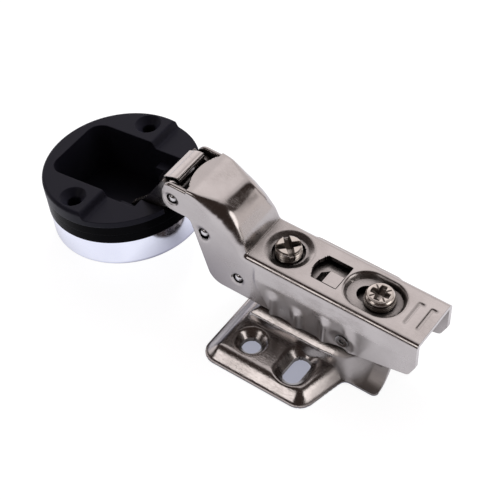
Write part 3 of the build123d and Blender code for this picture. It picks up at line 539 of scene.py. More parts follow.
def filleted(corners: tuple[Triple, ...], steps: int = 8) -> Grid:
    """Open polyline through (x, z, radius) corners, each inner corner rounded by an arc.

    Args:
        corners: the corners with their radii.
        steps: straight pieces to an arc.

    Returns:
        Array of points, one row each.
    """
    points = np.array([corner[:2] for corner in corners])
    result = [points[:1]]
    for i in range(1, len(corners) - 1):
        before, after = points[i - 1] - points[i], points[i + 1] - points[i]
        before /= np.linalg.norm(before)
        after /= np.linalg.norm(after)
        half = np.arccos(np.clip(before @ after, -1, 1)) / 2
        radius = corners[i][2]
        reach = radius / np.tan(half)
        middle = before + after
        centre = points[i] + middle / np.linalg.norm(middle) * radius / np.sin(half)
        start = points[i] + before * reach - centre
        turn = np.pi - 2 * half
        sign = 1.0 if before[0] * after[1] - before[1] * after[0] < 0 else -1.0
        angles = np.linspace(0, turn, steps + 1) * sign
        arc_x = centre[0] + start[0] * np.cos(angles) - start[1] * np.sin(angles)
        arc_z = centre[1] + start[0] * np.sin(angles) + start[1] * np.cos(angles)
        result.append(np.column_stack([arc_x, arc_z]))
    result.append(points[-1:])
    return np.concatenate(result)


def resampled(corners: Grid, step: float) -> Grid:
    """Points along a polyline, at most a step apart, with every corner kept."""
    length = np.concatenate([[0], np.cumsum(np.hypot(*np.diff(corners, axis=0).T))])
    place = np.unique(np.concatenate([np.arange(0, length[-1], step), length]))
    return np.column_stack([np.interp(place, length, side) for side in corners.T])


def snapped(x: Grid, y: Grid, distance: Distance, reach: float) -> tuple[Grid, Grid, Grid]:
    """Moves the grid points next to a line onto it.

    A point closer than reach to the line where the distance is zero moves along the
    distance's slope, three times: p - d grad d / |grad d|^2.

    Args:
        x: grid of X.
        y: grid of Y.
        distance: function of x and y that is negative where metal is.
        reach: how far a point may move.

    Returns:
        The moved x and y, and which points are metal.
    """
    close = np.abs(distance(x, y)) < reach
    tiny = 1e-4
    for _ in range(3):
        here = distance(x, y)
        slope_x = (distance(x + tiny, y) - here) / tiny
        slope_y = (distance(x, y + tiny) - here) / tiny
        steep = np.maximum(slope_x**2 + slope_y**2, 0.25)
        x = np.where(close, x - here * slope_x / steep, x)
        y = np.where(close, y - here * slope_y / steep, y)
    return x, y, close | (distance(x, y) < 0)


def slab(name: str, outer: Grid, inner: Grid, metal: Grid) -> Object:
    """Closed sheet between two grids of points, with walls round every edge and hole.

    Args:
        name: name of the new object.
        outer: points of the face that looks out, rows by columns by 3, in millimetres.
        inner: points of the other face.
        metal: which points are metal; a cell needs all four.

    Returns:
        The object, its faces pointing out of the metal.
    """
    rows, columns = metal.shape
    beyond = rows * columns
    number = np.arange(beyond).reshape(rows, columns)
    cell = metal[:-1, :-1] & metal[1:, :-1] & metal[1:, 1:] & metal[:-1, 1:]
    corners = (number[:-1, :-1], number[1:, :-1], number[1:, 1:], number[:-1, 1:])
    corners = np.stack(corners, axis=-1)
    top = corners[cell]
    low = top[:, ::-1] + beyond
    padded = np.pad(cell, 1)
    walls = []
    for side, (step_row, step_column) in enumerate(((0, -1), (1, 0), (0, 1), (-1, 0))):
        shift = padded[1 + step_row : rows + step_row, 1 + step_column : columns + step_column]
        edge = corners[cell & ~shift]
        first, second = edge[:, side], edge[:, (side + 1) % 4]
        walls.append(np.column_stack([second, first, first + beyond, second + beyond]))
    faces = np.concatenate([top, low, *walls])
    points = np.concatenate([outer.reshape(-1, 3), inner.reshape(-1, 3)])
    used = np.unique(faces)
    place = np.full(len(points), -1)
    place[used] = np.arange(len(used))
    return solid(name, points[used], place[faces])


def solid(name: str, points: Grid, quads: Grid, triangles: Grid | None = None) -> Object:
    """Object of faces from points in millimetres, smooth but for sharp edges.

    Args:
        name: name of the new object.
        points: corners, one row each.
        quads: faces of four corners.
        triangles: faces of three corners, such as a pole's.

    Returns:
        The object.
    """
    if triangles is None:
        triangles = np.empty((0, 3), dtype=int)
    corners = np.concatenate([quads.ravel(), triangles.ravel()]).astype(np.int32)
    counts = np.concatenate([np.full(len(quads), 4), np.full(len(triangles), 3)])
    starts = np.concatenate([[0], np.cumsum(counts)[:-1]]).astype(np.int32)
    mesh = bpy.data.meshes.new(name)
    mesh.vertices.add(len(points))
    mesh.vertices.foreach_set("co", (points * MM).astype(np.float32).ravel())
    mesh.loops.add(len(corners))
    mesh.loops.foreach_set("vertex_index", corners)
    mesh.polygons.add(len(counts))
    mesh.polygons.foreach_set("loop_start", starts)
    mesh.update(calc_edges=True)
    mesh.validate()
    mesh.shade_smooth()
    mesh.set_sharp_from_angle(angle=float(np.radians(SHARP_ANGLE)))
    piece = bpy.data.objects.new(name, mesh)
    bpy.context.scene.collection.objects.link(piece)
    log.info("%s: %d faces", name, len(counts))
    return piece


def turned(name: str, rings: Grid, closed: bool = False) -> Object:
    """Closed solid from rings of points round a line.

    Args:
        name: name of the new object.
        rings: rings by angles by 3, in millimetres; the first and last shrink to a pole.
        closed: the last ring joins the first instead, so the solid has a bore.

    Returns:
        The object, its faces pointing out.
    """
    count, around = rings.shape[:2]
    number = np.arange(count * around).reshape(count, around)
    above, after = np.roll(number, -1, axis=0), np.roll(number, -1, axis=1)
    quads = np.stack([number, above, np.roll(above, -1, axis=1), after], axis=-1)
    points = rings.reshape(-1, 3)
    if closed:
        return solid(name, points, quads.reshape(-1, 4))
    poles = np.array([count * around, count * around + 1])
    first = np.column_stack([number[0], after[0], np.full(around, poles[0])])
    last = np.column_stack([after[-1], number[-1], np.full(around, poles[1])])
    points = np.concatenate([points, rings[[0, -1]].mean(axis=1)])
    return solid(name, points, quads[:-1].reshape(-1, 4), np.concatenate([first, last]))


def tube(name: str, path: Grid, radius: float, around: int = 12) -> Object:
    """Round wire along a path: circles square to it, one side of each turned to face Y."""
    run = np.gradient(path, axis=0)
    run /= np.linalg.norm(run, axis=1, keepdims=True)
    side = np.cross(run, [0.0, 1.0, 0.0])
    side /= np.linalg.norm(side, axis=1, keepdims=True)
    up = np.cross(side, run)
    angle = np.linspace(0, 2 * np.pi, around, endpoint=False)[None, :, None]
    circle = np.cos(angle) * side[:, None] + np.sin(angle) * up[:, None]
    return turned(name, path[:, None] + radius * circle)


def place_piece(piece: Object, body: str, slot: Slot, material: Material, *nodes: str) -> None:
    """Puts a piece on its body, with its finish, in place of the given nodes."""
    piece.data.materials.append(material)
    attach(piece, body)
    if nodes:
        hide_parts(*nodes)


# ---------------- plate
@dataclass
class PressedPlate:
    """Butterfly mounting plate drawn from one sheet, with soft ridges round its wings."""

    front: float = -9.9
    half_width: float = 25.28
    rear_outer: float = 21.6
    rear_inner: float = 25.6
    waist: float = 8.0
    corner: float = 4.4
    wing_top: float = 3.3
    rim_lip: float = 0.35
    rim_slope: float = 1.05
    rim_start: float = 0.25
    rim_round: float = 1.3
    hump_top: float = 7.4
    hump_front: float = -5.6
    hump_rear: float = 34.0
    hump_half: float = 11.1
    hump_corner: float = 1.5
    beyond_tail: float = 20.0
    wing_end: Pair = (22.0, 28.0)
    foot_spread: Pair = (21.0, 30.0)
    foot_level: float = 1.0
    wall_slope: float = 5.0
    tail_rise: Pair = (14.0, 30.0)
    ridge: float = 2.8
    sheet: float = 1.6
    hole_y: float = 16.0
    hole: float = 2.5
    sink_depth: float = 2.0
    sink_slopes: Pair = (1.15, 1.15 / 1.27)  # of round holes, and of slots
    slot_x: float = 13.7
    slot_half: float = 1.95
    tab_slot: Pair = (3.0, 4.95)
    tab_half: Pair = (2.1, 0.8)

    def outline(self, x: Grid, y: Grid) -> Grid:
        """Signed distance to the outline of wings and raised middle, on the wall plane."""
        inset = self.corner
        near = np.array([
            (self.front + inset, -self.half_width + inset),
            (self.rear_outer - 0.85 * inset, -self.half_width + inset),
            (self.rear_inner - 1.05 * inset, -self.waist),
        ])
        far = near[::-1] * (1, -1)
        wings = polygon_distance(x, y, np.concatenate([near, far])) - inset
        return soft_min(wings, self.hump(x, y), 1.6)

    def hump(self, x: Grid, y: Grid, beyond: float = 0.0) -> Grid:
        """Signed distance to the raised middle's foot, its tail drawn out beyond the cut."""
        middle = (self.hump_front + self.hump_rear + beyond) / 2
        half = (self.hump_rear - self.hump_front + beyond) / 2
        inner = (half - self.hump_corner, self.hump_half - self.hump_corner)
        return box_distance(x, y, (middle, 0.0), inner) - self.hump_corner

    def height(self, x: Grid, y: Grid, inset: float, drop: float) -> Grid:
        """Height of the pressed sheet: rim slope, flat wing, countersinks and raised middle.

        Each form is a distance turned into a height and cut off by a level; soft_min and
        soft_max round the meetings, as the press tool does. The middle's wall is steep
        beside the wings and spreads towards the tail into a hollow foot, which rises with the
        distance d by 0.6 + 0.2 (d - 0.4)^1.9.

        Args:
            x: places along X.
            y: places along Y.
            inset: how far the face lies inside the outer one, square to its walls.
            drop: how far its levels lie below the outer ones.

        Returns:
            Heights over the wall plane.
        """
        inside = -self.outline(x, y) - inset
        rise = soft_max(self.rim_lip + 0 * x, inside * self.rim_slope - self.rim_start, 0.3)
        flat = self.wing_top * (1 - 0.85 * ease(x, *self.wing_end))
        wing = self.sunk(x, y, soft_min(rise, flat, self.rim_round)) - drop
        foot = -self.hump(x, y, self.beyond_tail) - inset * 0.72
        steep = self.foot_level + foot * self.wall_slope
        hollow = 0.6 + 0.2 * np.maximum(foot - 0.4, 0) ** 1.9
        wall = steep + (np.minimum(hollow, steep) - steep) * ease(x, *self.foot_spread)
        level = self.hump_top + ease(x, *self.tail_rise) - drop
        bevel = level - self.ridge + foot
        middle = soft_min(soft_min(wall, bevel, 0.8), level, 1.2)
        return soft_max(wing, middle, 0.5)

    def holes(self, x: Grid, y: Grid) -> Grid:
        """Signed distance to metal: negative between the outline and the holes."""
        metal = np.maximum(self.outline(x, y), self.hole - np.min(self.reaches(x, y), axis=0))
        return np.maximum(metal, -box_distance(x, np.abs(y), self.tab_slot, self.tab_half))

    def reaches(self, x: Grid, y: Grid) -> tuple[Grid, Grid]:
        """Distances to the middle of the round holes and to the middle line of the slots."""
        away = np.abs(y) - self.hole_y
        slot = slot_distance(x, away, (self.slot_x, 0.0), (0.0, self.slot_half))
        return np.hypot(x, away), slot

    def sunk(self, x: Grid, y: Grid, height: Grid) -> Grid:
        """Height with the round and slotted countersinks pressed in: soft-lipped funnels."""
        for reach, slope in zip(self.reaches(x, y), self.sink_slopes):
            funnel = self.wing_top - self.sink_depth + (reach - self.hole) * slope
            height = soft_min(height, funnel, 0.7)
        return height

    def build(self, material: Material) -> None:
        """Makes the plate and puts it in place of its node."""
        side_x = steps(
            (self.front - 0.4, -6.6, 0.36), (-6.6, -4.0, 0.16), (-4.0, 32.2, 0.36),
            (32.2, 34.5, 0.16),
        )
        half_y = steps((0.18, 8.8, 0.42), (8.8, 11.6, 0.14), (11.6, self.half_width + 0.6, 0.36))
        side_y = np.concatenate([-half_y[::-1], half_y])
        x, y = np.meshgrid(side_x, side_y, indexing="ij")
        x, y, metal = snapped(x, y, self.holes, 0.2)
        top = np.maximum(self.height(x, y, 0.0, 0.0), 0.12)
        low = np.clip(self.height(x, y, self.sheet * 1.3, self.sheet), 0.0, top - 0.1)
        outer, inner = (np.stack([x, y, face], axis=-1) for face in (top, low))
        piece = slab("pressed_plate", outer, inner, metal)
        place_piece(piece, "plate", Slot.NICKEL_PLATE, material, "mounting_plate")


# ---------------- arm
RIVETS = {  # X and Z of the axes of the pins through the flanges
    "outer_link_rivet": (-29.8, 30.5),
    "inner_link_rivet": (-20.1, 23.75),
    "spring_rivet": (-9.7, 13.3),
}


@dataclass
class CrankedArm:
    """Arm folded from one sheet: web, two flanges, swelling folds and pressed details."""

    half_width: float = 8.3
    sheet: float = 1.3
    tail: float = 42.4
    nose: float = -32.6
    nose_round: float = 2.8
    ear_rear: float = -25.3
    ear_top: float = 35.6
    web: tuple[Triple, ...] = (
        (50.0, 23.4, 0.0), (-7.4, 23.4, 0.5), (-8.6, 26.6, 12.0), (-11.1, 30.6, 12.0),
        (-14.6, 34.5, 7.0), (-23.1, 36.2, 10.0), (-60.0, 36.2, 0.0),
    )
    low_edge: tuple[Triple, ...] = (
        (-40.0, 26.9, 0.0), (-24.1, 26.9, 1.8), (-17.6, 8.0, 4.5), (14.0, 7.9, 30.0),
        (31.5, 9.2, 8.0), (40.7, 11.3, 1.8), (42.7, 15.8, 0.0),
    )
    fold_places: tuple[float, ...] = (
        -25.0, -22.0, -19.5, -17.0, -15.0, -13.0, -10.5, -8.5, -7.4, 43.0,
    )
    fold_radii: tuple[float, ...] = (0.9, 1.4, 2.6, 3.9, 4.3, 4.1, 3.0, 2.0, 1.7, 1.6)
    least_fold: float = 0.22
    fold_rows: int = 8
    flange_rows: int = 46
    rivet_hole: float = 1.56
    rivet_sink: float = 0.3
    beads: tuple[float, ...] = (1.2, 8.4, 16.8, 23.7)
    bead_tops: tuple[float, ...] = (15.6, 14.4, 16.4, 17.4)
    bead_width: float = 1.35
    bead_height: float = 0.7
    bulge: float = 0.45
    bulge_front: float = -5.0
    bulge_rear: Pair = (31.0, 36.0)
    bulge_lean: Pair = (17.4, 4.9)  # height where it starts to lean in, and over how much
    guide_rivet: Pair = (21.8, 10.9)
    dimple: Pair = (0.3, 0.2)
    dimple_lip: float = 6.4
    dimple_wall: float = 1.9
    dimple_depth: float = 1.1
    screw_hole: float = 4.3
    screw_x: float = 0.2
    window_start: float = 8.1
    window_end: float = 16.8
    window_half: float = 4.15
    front_bow: Pair = (-27.2, 0.0408)  # front of the web, and how fast it bows back
    pocket: Pair = (25.5, 0.0)
    pocket_half: Pair = (2.3, 0.0)
    pocket_floor: float = 5.1
    pocket_wall: float = 1.15
    pocket_depth: float = 1.6
    pocket_slot: float = 2.6
    bars: Pair = (35.9, 39.4)
    bar_depth: float = 0.22
    crest: float = -13.9
    crest_width: float = 1.4
    crest_depth: float = 0.24

    def web_height(self, x: Grid, y: Grid) -> Grid:
        """Height of the web: the rounded side path, less what is pressed into it."""
        path = filleted(self.web, 14)[::-1]
        height = np.interp(x, path[:, 0], path[:, 1])
        return height - self.pressed(x, y)

    def pressed(self, x: Grid, y: Grid) -> Grid:
        """Depth pressed into the web: dimple, pocket, tail bars and the crank's bead."""
        reach = np.hypot(x - self.dimple[0], y - self.dimple[1])
        wall = np.clip((self.dimple_lip - reach) / self.dimple_wall, 0, 1)
        dimple = soft_max(0 * x, self.dimple_depth * wall, 0.1)
        dimple = dimple - 0.2 * (1 - ease(reach, self.screw_hole, self.screw_hole + 0.4))
        pan = slot_distance(x, y, self.pocket, self.pocket_half)
        wall = np.clip((pan - self.pocket_floor) / self.pocket_wall, 0, 1)
        pocket = self.pocket_depth * (1 - wall) ** 2
        bars = 0.0 * x
        for start in self.bars:
            line = slot_distance(x, y, (start, 0.1), (0.0, 3.6))
            hook = slot_distance(x, y, (start + 0.6, 3.7), (0.6, 0.0))
            press = 1 - ease(np.minimum(line, hook), 0.1, 0.4)
            bars = np.maximum(bars, self.bar_depth * press)
        across = (x - self.crest - 0.16 * y) / self.crest_width
        crest = self.crest_depth * np.exp(-(across**2)) * (1 - ease(np.abs(y), 3.0, 6.4))
        return dimple + pocket + bars + crest

    def flange_swell(self, x: Grid, z: Grid) -> Grid:
        """How far a flange stands out: a shallow bulge and soft upright beads."""
        start = self.bulge_front + 2.2 * (np.clip(18.1 - z, 0, 9) / 6) ** 2
        zone = ease(x - start, 0.0, 0.9) * (1 - ease(x + 0.5 * (18.0 - z), *self.bulge_rear))
        ring = np.hypot(x - self.guide_rivet[0], z - self.guide_rivet[1])
        zone = zone * ease(ring, 1.6, 4.2)
        level, over = self.bulge_lean
        lean = 1 - soft_max(0 * z, soft_min(0 * z + 1, (z - level) / over, 0.15), 0.08)
        beads = 0.0 * x
        for place, end in zip(self.beads, self.bead_tops):
            bead = np.exp(-(((x - place) / self.bead_width) ** 2))
            beads = beads + bead * (1 - ease(z, end - 2.2, end + 1.0))
        sink = self.rivet_sink * (1 - ease(self.rivet_reach(x, z), 1.6, 2.15))
        return zone * (self.bulge * lean + self.bead_height * beads) - sink

    def gaps(self, x: Grid, y: Grid) -> Grid:
        """Signed distance to the web's metal in plan, past its holes and bowed front."""
        hole = self.screw_hole - np.hypot(x - self.screw_x, y)
        slot = self.pocket_slot - slot_distance(x, y, self.pocket, self.pocket_half)
        away = y + 0.15
        left = self.window_start + 0.095 * away**2 - x
        across = np.abs(away) - self.window_half
        window = -soft_max(np.maximum(left, x - self.window_end), across, 0.35)
        inside = self.half_width - 0.8 - np.abs(y)
        bow = np.minimum(self.front_bow[0] + self.front_bow[1] * y * y - x, inside)
        return np.maximum(np.maximum(hole, slot), np.maximum(window, bow))

    def fold_radius(self, x: Grid) -> Grid:
        """Radius of the folds; the ears have none, only a broken edge."""
        radius = np.interp(x, self.fold_places, self.fold_radii)
        return np.where(x < self.ear_rear, 0.9, radius)

    def rivet_reach(self, x: Grid, z: Grid) -> Grid:
        """Distance to the nearest rivet's axis on a flange."""
        return np.min([np.hypot(x - side, z - level) for side, level in RIVETS.values()], axis=0)

    def rivet_holes(self, x: Grid, z: Grid) -> Grid:
        """Signed distance to a flange's metal round its rivet holes."""
        return self.rivet_hole - self.rivet_reach(x, z)

    def tip(self, x: Grid) -> Grid:
        """How much the nose's round takes off the ears, above and below: a quarter circle."""
        share = np.clip((self.nose + self.nose_round - x) / self.nose_round, 0, 1)
        return self.nose_round * (1 - np.sqrt(1 - share**2))

    def section(self, x: Grid, y: Grid, depth: float, flange: list[Grid]) -> Grid:
        """Points of one face of the sheet, from the near flange's edge to the far one's.

        The web is (x, y, height). A fold goes r sin a out to the flange and
        r (1 - (1 - sin^2.5 a)^(1 / 1.75)) down, square to the web's slope. A flange runs
        straight down to the side outline.

        Args:
            x: web points along X, columns by web rows.
            y: web points along Y.
            depth: how far the face lies inside the outer one.
            flange: X, Z and metal of the outer face's flange, which the first call fills.

        Returns:
            Array of columns by rows by 3.
        """
        column = x[:, 0]
        ear = column < self.ear_rear
        least = np.where(ear, 0.02, self.least_fold)
        radius = np.maximum(self.fold_radius(column) - depth, least)
        width = self.half_width - depth
        tiny = 0.02
        outside = np.full(column.shape, 99.0)
        level = self.web_height(column, outside)
        slope = (self.web_height(column + tiny, outside) - level) / tiny * ~ear
        normal_x, normal_z = -slope / np.hypot(slope, 1), 1 / np.hypot(slope, 1)
        upper = ear[:, None] & (np.abs(y) > self.half_width - self.sheet - 0.6)
        ear_level = (self.ear_top - self.tip(column))[:, None] + 0 * y
        web_z = np.where(upper, ear_level, self.web_height(x, y)) - depth * normal_z[:, None]
        web_y = y
        if depth:
            web_z = np.where(upper, ear_level - 0.05 - 0.03 * np.abs(y), web_z)
            web_y = np.where(upper, np.sign(y) * (width - 0.02), y)
        web = np.stack([x - depth * normal_x[:, None], web_y, web_z], axis=-1)
        angle = np.linspace(0, np.pi / 2, self.fold_rows + 1)[1:]
        edge_x = column - depth * normal_x
        edge_z = np.where(ear, ear_level[:, 0] - min(depth, 0.4), level - depth * normal_z)
        across = np.sin(angle)[None, :]
        lean = -radius[:, None] * (1 - (1 - across**2.5) ** (1 / 1.75))
        fold_x = edge_x[:, None] + lean * normal_x[:, None]
        fold_z = edge_z[:, None] + lean * normal_z[:, None]
        fold_y = width - radius[:, None] + radius[:, None] * across
        path = filleted(self.low_edge, 10)
        low = np.interp(column, path[:, 0], path[:, 1]) + self.tip(column)
        share = np.linspace(0, 1, self.flange_rows + 1)[1:]
        down_x = fold_x[:, -1:] + (column[:, None] - fold_x[:, -1:]) * share[None, :]
        down_z = fold_z[:, -1:] + (low[:, None] - fold_z[:, -1:]) * share[None, :]
        if flange:
            settle = (1 - share[None, :]) ** 3
            down_x = flange[0] + (down_x - flange[0]) * settle
            down_z = flange[1] + (down_z - flange[1]) * settle
        else:
            flange.extend(snapped(down_x, down_z, self.rivet_holes, 0.24))
            down_x, down_z = flange[:2]
        down_y = width + self.flange_swell(down_x, down_z)
        parts = ((fold_x, down_x), (fold_y, down_y), (fold_z, down_z))
        far = np.stack([np.concatenate(part, axis=1) for part in parts], axis=-1)
        return np.concatenate([far[:, ::-1] * (1, -1, 1), web, far], axis=1)

    def build(self, material: Material) -> None:
        """Makes the arm and puts it in place of its node."""
        turn = np.linspace(np.pi / 2, 0, 12)
        column = np.concatenate([
            self.nose + self.nose_round * (1 - np.sin(turn)),
            steps((self.nose + 3.2, self.ear_rear - 0.2, 0.35)),
            [self.ear_rear - 0.02, self.ear_rear + 0.02],
            steps(
                (self.ear_rear + 0.3, -17.0, 0.36), (-17.0, -9.6, 0.22), (-9.6, -7.0, 0.11),
                (-7.0, 33.0, 0.36), (33.0, self.tail, 0.3),
            ),
            [self.tail],
        ])
        radius = self.fold_radius(column)
        share = np.linspace(-1, 1, 47)
        x = np.repeat(column[:, None], len(share), axis=1)
        y = share[None, :] * (self.half_width - radius)[:, None]
        edge = np.abs(share) > 0.999
        moved_x, moved_y, metal = snapped(x, y, self.gaps, 0.2)
        x, y = np.where(edge[None, :], x, moved_x), np.where(edge[None, :], y, moved_y)
        inner_radius = np.maximum(radius - self.sheet, self.least_fold)
        shrink = (self.half_width - self.sheet - inner_radius) / (self.half_width - radius)
        inner_y = y * (1 + (shrink[:, None] - 1) * np.abs(share[None, :]) ** 6)
        flange: list[Grid] = []
        outer = self.section(x, y, 0.0, flange)
        inner = self.section(x, inner_y, self.sheet, flange)
        folds = (outer.shape[1] - metal.shape[1]) // 2 - flange[2].shape[1]
        side = np.concatenate([np.ones((len(column), folds), dtype=bool), flange[2]], axis=1)
        metal = np.concatenate([side[:, ::-1], metal | edge[None, :], side], axis=1)
        piece = slab("cranked_arm", outer, inner, metal)
        place_piece(piece, "hinge_arm", Slot.NICKEL_PLATE, material, "arm")


@dataclass
class LinkStrip:
    """Flattened top of the outer link's curl, which shows ahead of the arm's web."""

    half_length: float = 5.5
    thickness: Pair = (0.3, -0.5)
    profile: tuple[Triple, ...] = (
        (-34.75, 31.8, 0.0), (-34.0, 34.2, 1.0), (-29.5, 35.8, 0.25), (-29.5, 34.4, 0.0),
    )

    def build(self, material: Material) -> None:
        """Makes the strip: its side outline carried along Y, a little smaller at the ends."""
        line = resampled(filleted(self.profile, 8), 0.12)
        back = line[::-1] + np.array(self.thickness)
        loop = np.concatenate([line, back])
        middle = loop.mean(axis=0)
        places = np.array([-1.0, -0.985, -0.96, 0.96, 0.985, 1.0]) * self.half_length
        shrink = np.array([0.9, 0.97, 1.0, 1.0, 0.97, 0.9])[:, None]
        x = middle[0] + (loop[:, 0] - middle[0])[None, :] * shrink
        z = middle[1] + (loop[:, 1] - middle[1])[None, :] * shrink
        y = places[:, None] + 0 * x
        piece = turned("outer_link_strip", np.stack([x, y, z], axis=-1))
        place_piece(piece, "long_link", Slot.NICKEL_PLATE, material)


@dataclass
class Rivets:
    """Drawn pins through the arm, their ends domed by the riveting punch."""

    half_length: float = 8.3
    radii: tuple[float, ...] = (0.02, 0.3, 0.55, 0.8, 1.0, 1.16, 1.28, 1.36, 1.4)
    backs: tuple[float, ...] = (0.0, 0.03, 0.1, 0.22, 0.38, 0.55, 0.72, 0.9, 1.5)

    def build(self, material: Material) -> None:
        """Makes each pin as a turned solid along Y."""
        back = np.array(self.backs)
        level = np.concatenate([self.half_length - back, back[::-1] - self.half_length])
        ring = np.array(self.radii + self.radii[::-1])
        angle = np.linspace(0, 2 * np.pi, 40, endpoint=False)
        for node, (x, z) in RIVETS.items():
            across, up = ring[:, None] * np.cos(angle), ring[:, None] * np.sin(angle)
            rings = np.stack([x + across, level[:, None] + 0 * across, z + up], axis=-1)
            piece = turned("riveted_" + node, rings)
            place_piece(piece, "hinge_arm", Slot.BRIGHT_PIN, material, node)


@dataclass
class CrossHead:
    """Screw with a cross recess pressed into its end, and a thread or a head."""

    node: str
    body: str
    centre: Pair
    profile: tuple[Pair, ...]
    half_span: float
    width: float
    depth: float
    turn: float
    ticks: float = 0.0
    thread: Pair = (0.0, 0.0)
    pitch: float = 0.7
    thread_depth: float = 0.3
    cuts_rim: float = 0.0

    def recess(self, x: Grid, y: Grid) -> Grid:
        """Depth of the cross recess: two crossed grooves, deepest in the middle."""
        angle = np.radians(self.turn)
        along = x * np.cos(angle) + y * np.sin(angle)
        across = y * np.cos(angle) - x * np.sin(angle)
        depth = 0 * x
        for run, side in ((along, across), (across, along)):
            reach = np.abs(run)
            half = self.width / 2 * (1 - 0.25 * reach / self.half_span)
            wall = 1 - ease(np.abs(side), half - 0.12, half + 0.14)
            slope = self.depth * np.clip(1.15 - 0.75 * reach / self.half_span, 0, 1)
            end = 1 - ease(reach, self.half_span - 0.25, self.half_span + 0.1)
            depth = np.maximum(depth, wall * slope * np.maximum(end, self.cuts_rim))
        diagonal = np.minimum(np.abs(along - across), np.abs(along + across)) / np.sqrt(2)
        radius = np.hypot(x, y)
        zone = ease(radius, 1.1, 1.3) * (1 - ease(radius, 2.7, 3.0))
        tick = self.ticks * (1 - ease(diagonal, 0.05, 0.2)) * zone
        return np.maximum(depth, tick)

    def build(self, material: Material) -> None:
        """Makes the screw from its profile, finely divided where the recess and thread lie."""
        radius, height = resampled(np.array(self.profile), 0.09).T[:, :, None]
        angle = np.linspace(0, 2 * np.pi, 144, endpoint=False)[None, :]
        low, high = self.thread
        phase = height / self.pitch - angle / (2 * np.pi)
        ridge = np.abs(2 * (phase - np.floor(phase)) - 1)
        zone = ease(height, low, low + 0.3) * (1 - ease(height, high - 0.3, high))
        radius = radius - self.thread_depth * ridge * zone * (high > low) * (radius > 1.0)
        x, y = radius * np.cos(angle), radius * np.sin(angle)
        top = self.profile[0][1]
        z = height - self.recess(x, y) * ease(height, top - 2.6, top - 1.2)
        rings = np.stack([x + self.centre[0], y + self.centre[1], z], axis=-1)
        piece = turned("turned_" + self.node, rings[:, ::-1])
        place_piece(piece, self.body, Slot.NICKEL_SCREW, material, self.node)


@dataclass
class ScrewCollar:
    """Turned ring under the fixing screw's head, with two grooves round it."""

    centre: Pair = (26.9, 0.0)
    profile: tuple[Pair, ...] = (
        (2.75, 21.82), (3.95, 21.82), (4.0, 22.0), (4.0, 22.2), (3.75, 22.32), (3.75, 22.45),
        (4.0, 22.58), (4.0, 22.7), (3.7, 22.8), (3.7, 22.92), (3.9, 23.02), (3.8, 23.2),
        (2.75, 23.2),
    )

    def build(self, material: Material) -> None:
        """Makes the ring by turning its closed profile."""
        radius, height = np.array(self.profile[::-1]).T[:, :, None]
        angle = np.linspace(0, 2 * np.pi, 96, endpoint=False)[None, :]
        x = self.centre[0] + radius * np.cos(angle)
        y = self.centre[1] + radius * np.sin(angle)
        rings = np.stack([x, y, height + 0 * angle], axis=-1)
        piece = turned("turned_screw_collar", rings, closed=True)
        place_piece(piece, "collar", Slot.NICKEL_SCREW, material, "screw_collar")


@dataclass
class ClosingSpring:
    """Two leg springs wound from one size of wire round the sleeve."""

    centre: Pair = (-9.7, 13.3)
    wire: float = 0.62
    mean: float = 3.2
    turns: float = 2.75
    outer_y: float = 4.3
    inner_y: float = 0.75
    front_leg: float = 7.6
    rear_top: float = 21.0

    def build(self, material: Material) -> None:
        """Makes each spring: straight leg, helix x + m sin a, z + m cos a, straight leg."""
        x, z = self.centre
        angle = np.linspace(0, 2 * np.pi * self.turns, 110)
        for name, sign in (("closing_spring_near", -1.0), ("closing_spring_far", 1.0)):
            y = sign * np.linspace(self.outer_y, self.inner_y, len(angle))
            coil = np.stack([x + self.mean * np.sin(angle), y, z + self.mean * np.cos(angle)])
            front = np.linspace(self.front_leg, 0.4, 16)
            front_leg = np.stack([x - front, 0 * front + y[0], z + self.mean + 0.1 * front])
            end_x, end_y, end_z = coil[:, -1]
            rise = np.linspace(0.4, self.rear_top - end_z, 14)
            rear_leg = np.stack([0 * rise + end_x, 0 * rise + end_y, end_z + rise])
            path = np.concatenate([front_leg, coil, rear_leg], axis=1).T
            wire = tube(name, path, self.wire)
            replaced = ("closing_spring",) if sign < 0 else ()
            place_piece(wire, "hinge_arm", Slot.SPRING_STEEL, material, *replaced)


SIDE_SCREW = CrossHead(
    node="side_adjust_screw",
    body="side_screw",
    centre=(0.2, 0.0),
    profile=(
        (0.03, 25.0), (2.9, 25.0), (3.3, 24.8), (3.5, 24.45), (3.5, 18.9), (3.2, 18.6),
        (1.8, 18.55), (1.8, 15.6), (3.1, 15.55), (3.1, 14.7), (2.9, 14.4), (0.03, 14.4),
    ),
    half_span=3.3, width=1.7, depth=2.5, turn=47.0,
    thread=(18.9, 24.7), pitch=0.78, thread_depth=0.42, cuts_rim=0.8,
)
FIXING_SCREW = CrossHead(
    node="fixing_screw",
    body="clamp_screw",
    centre=(26.9, 0.0),
    profile=(
        (0.03, 24.8), (2.7, 24.74), (3.3, 24.55), (3.65, 24.2), (3.78, 23.8), (3.72, 23.5),
        (3.5, 23.35), (2.4, 23.35), (2.4, 11.6), (2.1, 11.0), (0.03, 11.0),
    ),
    half_span=2.45, width=1.75, depth=1.9, turn=6.0, ticks=0.3,
    thread=(11.2, 19.5), thread_depth=0.25,
)


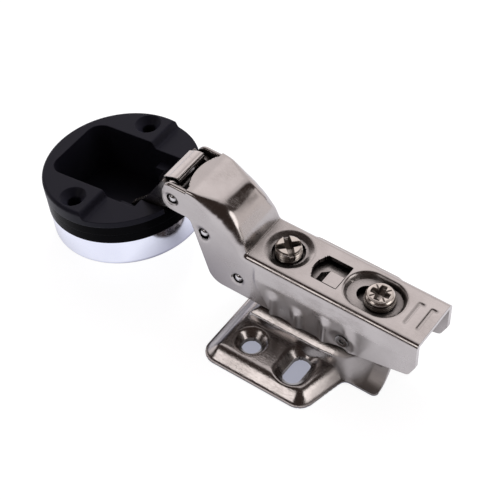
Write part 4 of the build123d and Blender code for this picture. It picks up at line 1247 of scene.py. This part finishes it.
def dress(node: str, material: Material) -> None:
    """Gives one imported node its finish."""
    data = frame["nodes"][node].data
    data.materials.clear()
    data.materials.append(material)
    log.info("dressed %s with %s", node, material.name)


def main() -> None:
    """Builds the studio and dresses the hinge."""
    logging.basicConfig(level=logging.INFO)
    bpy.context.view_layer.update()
    Studio().build()
    nickel = NickelPlate().make()
    folded = NickelPlate(
        name="nickel_plate_on_folded_steel", worn_below=17.0, shelter_span=(0.4, 0.94)
    ).make()
    screw = NickelPlate(
        name="nickel_plate_on_turned_steel", colour="#D4CCC4", grain=0.3, shelter_reach=2.5
    ).make()
    drawn = NickelPlate(
        name="nickel_plate_on_drawn_steel", grain=0.4, grain_depth=0.028, roughness=(0.16, 0.26),
        painted_hollow_shade="#2A221E", shelter_reach=5.0, worn_below=9.0, worn_from=20.0, worn_more=0.25,
    ).make()
    spring = NickelPlate(name="oiled_spring_steel", colour="#8A8A8E", shade="#6E6E72").make()
    pin = NickelPlate(name="bright_drawn_steel", colour="#D6D4D4", shade="#A8A4A2").make()
    finishes = {
        Slot.NICKEL_PLATE: nickel,
        Slot.NICKEL_SCREW: screw,
        Slot.BRIGHT_PIN: pin,
        Slot.SPRING_STEEL: spring,
        Slot.CHROME_COVER: NickelPlate(
            name="chrome_plate", colour="#F0F3FF", shade="#DDE1EC", roughness=(0.03, 0.07),
            grain_depth=0.0006, ripple_depth=0.006,
        ).make(),
        Slot.BLACK_PLASTIC: MouldedPlastic().make(),
        Slot.BLACK_GASKET: MouldedPlastic(
            name="black_pvc_gasket", colour="#08080B", shade="#0E0E12", roughness=(0.2, 0.3),
            gloss=0.02,
        ).make(),
        Slot.SLEEVE_PLASTIC: MouldedPlastic(
            name="natural_acetal", colour="#D6D6CE", shade="#BFBFB5"
        ).make(),
    }
    for part in frame["record"]["subparts"]:
        dress(part["node"], finishes[Slot(part["material_slot"])])
    PressedPlate().build(drawn)
    CrankedArm().build(folded)
    LinkStrip().build(nickel)
    Rivets().build(pin)
    SIDE_SCREW.build(screw)
    FIXING_SCREW.build(screw)
    ScrewCollar().build(screw)
    ClosingSpring().build(spring)


if __name__ == "__main__":
    main()
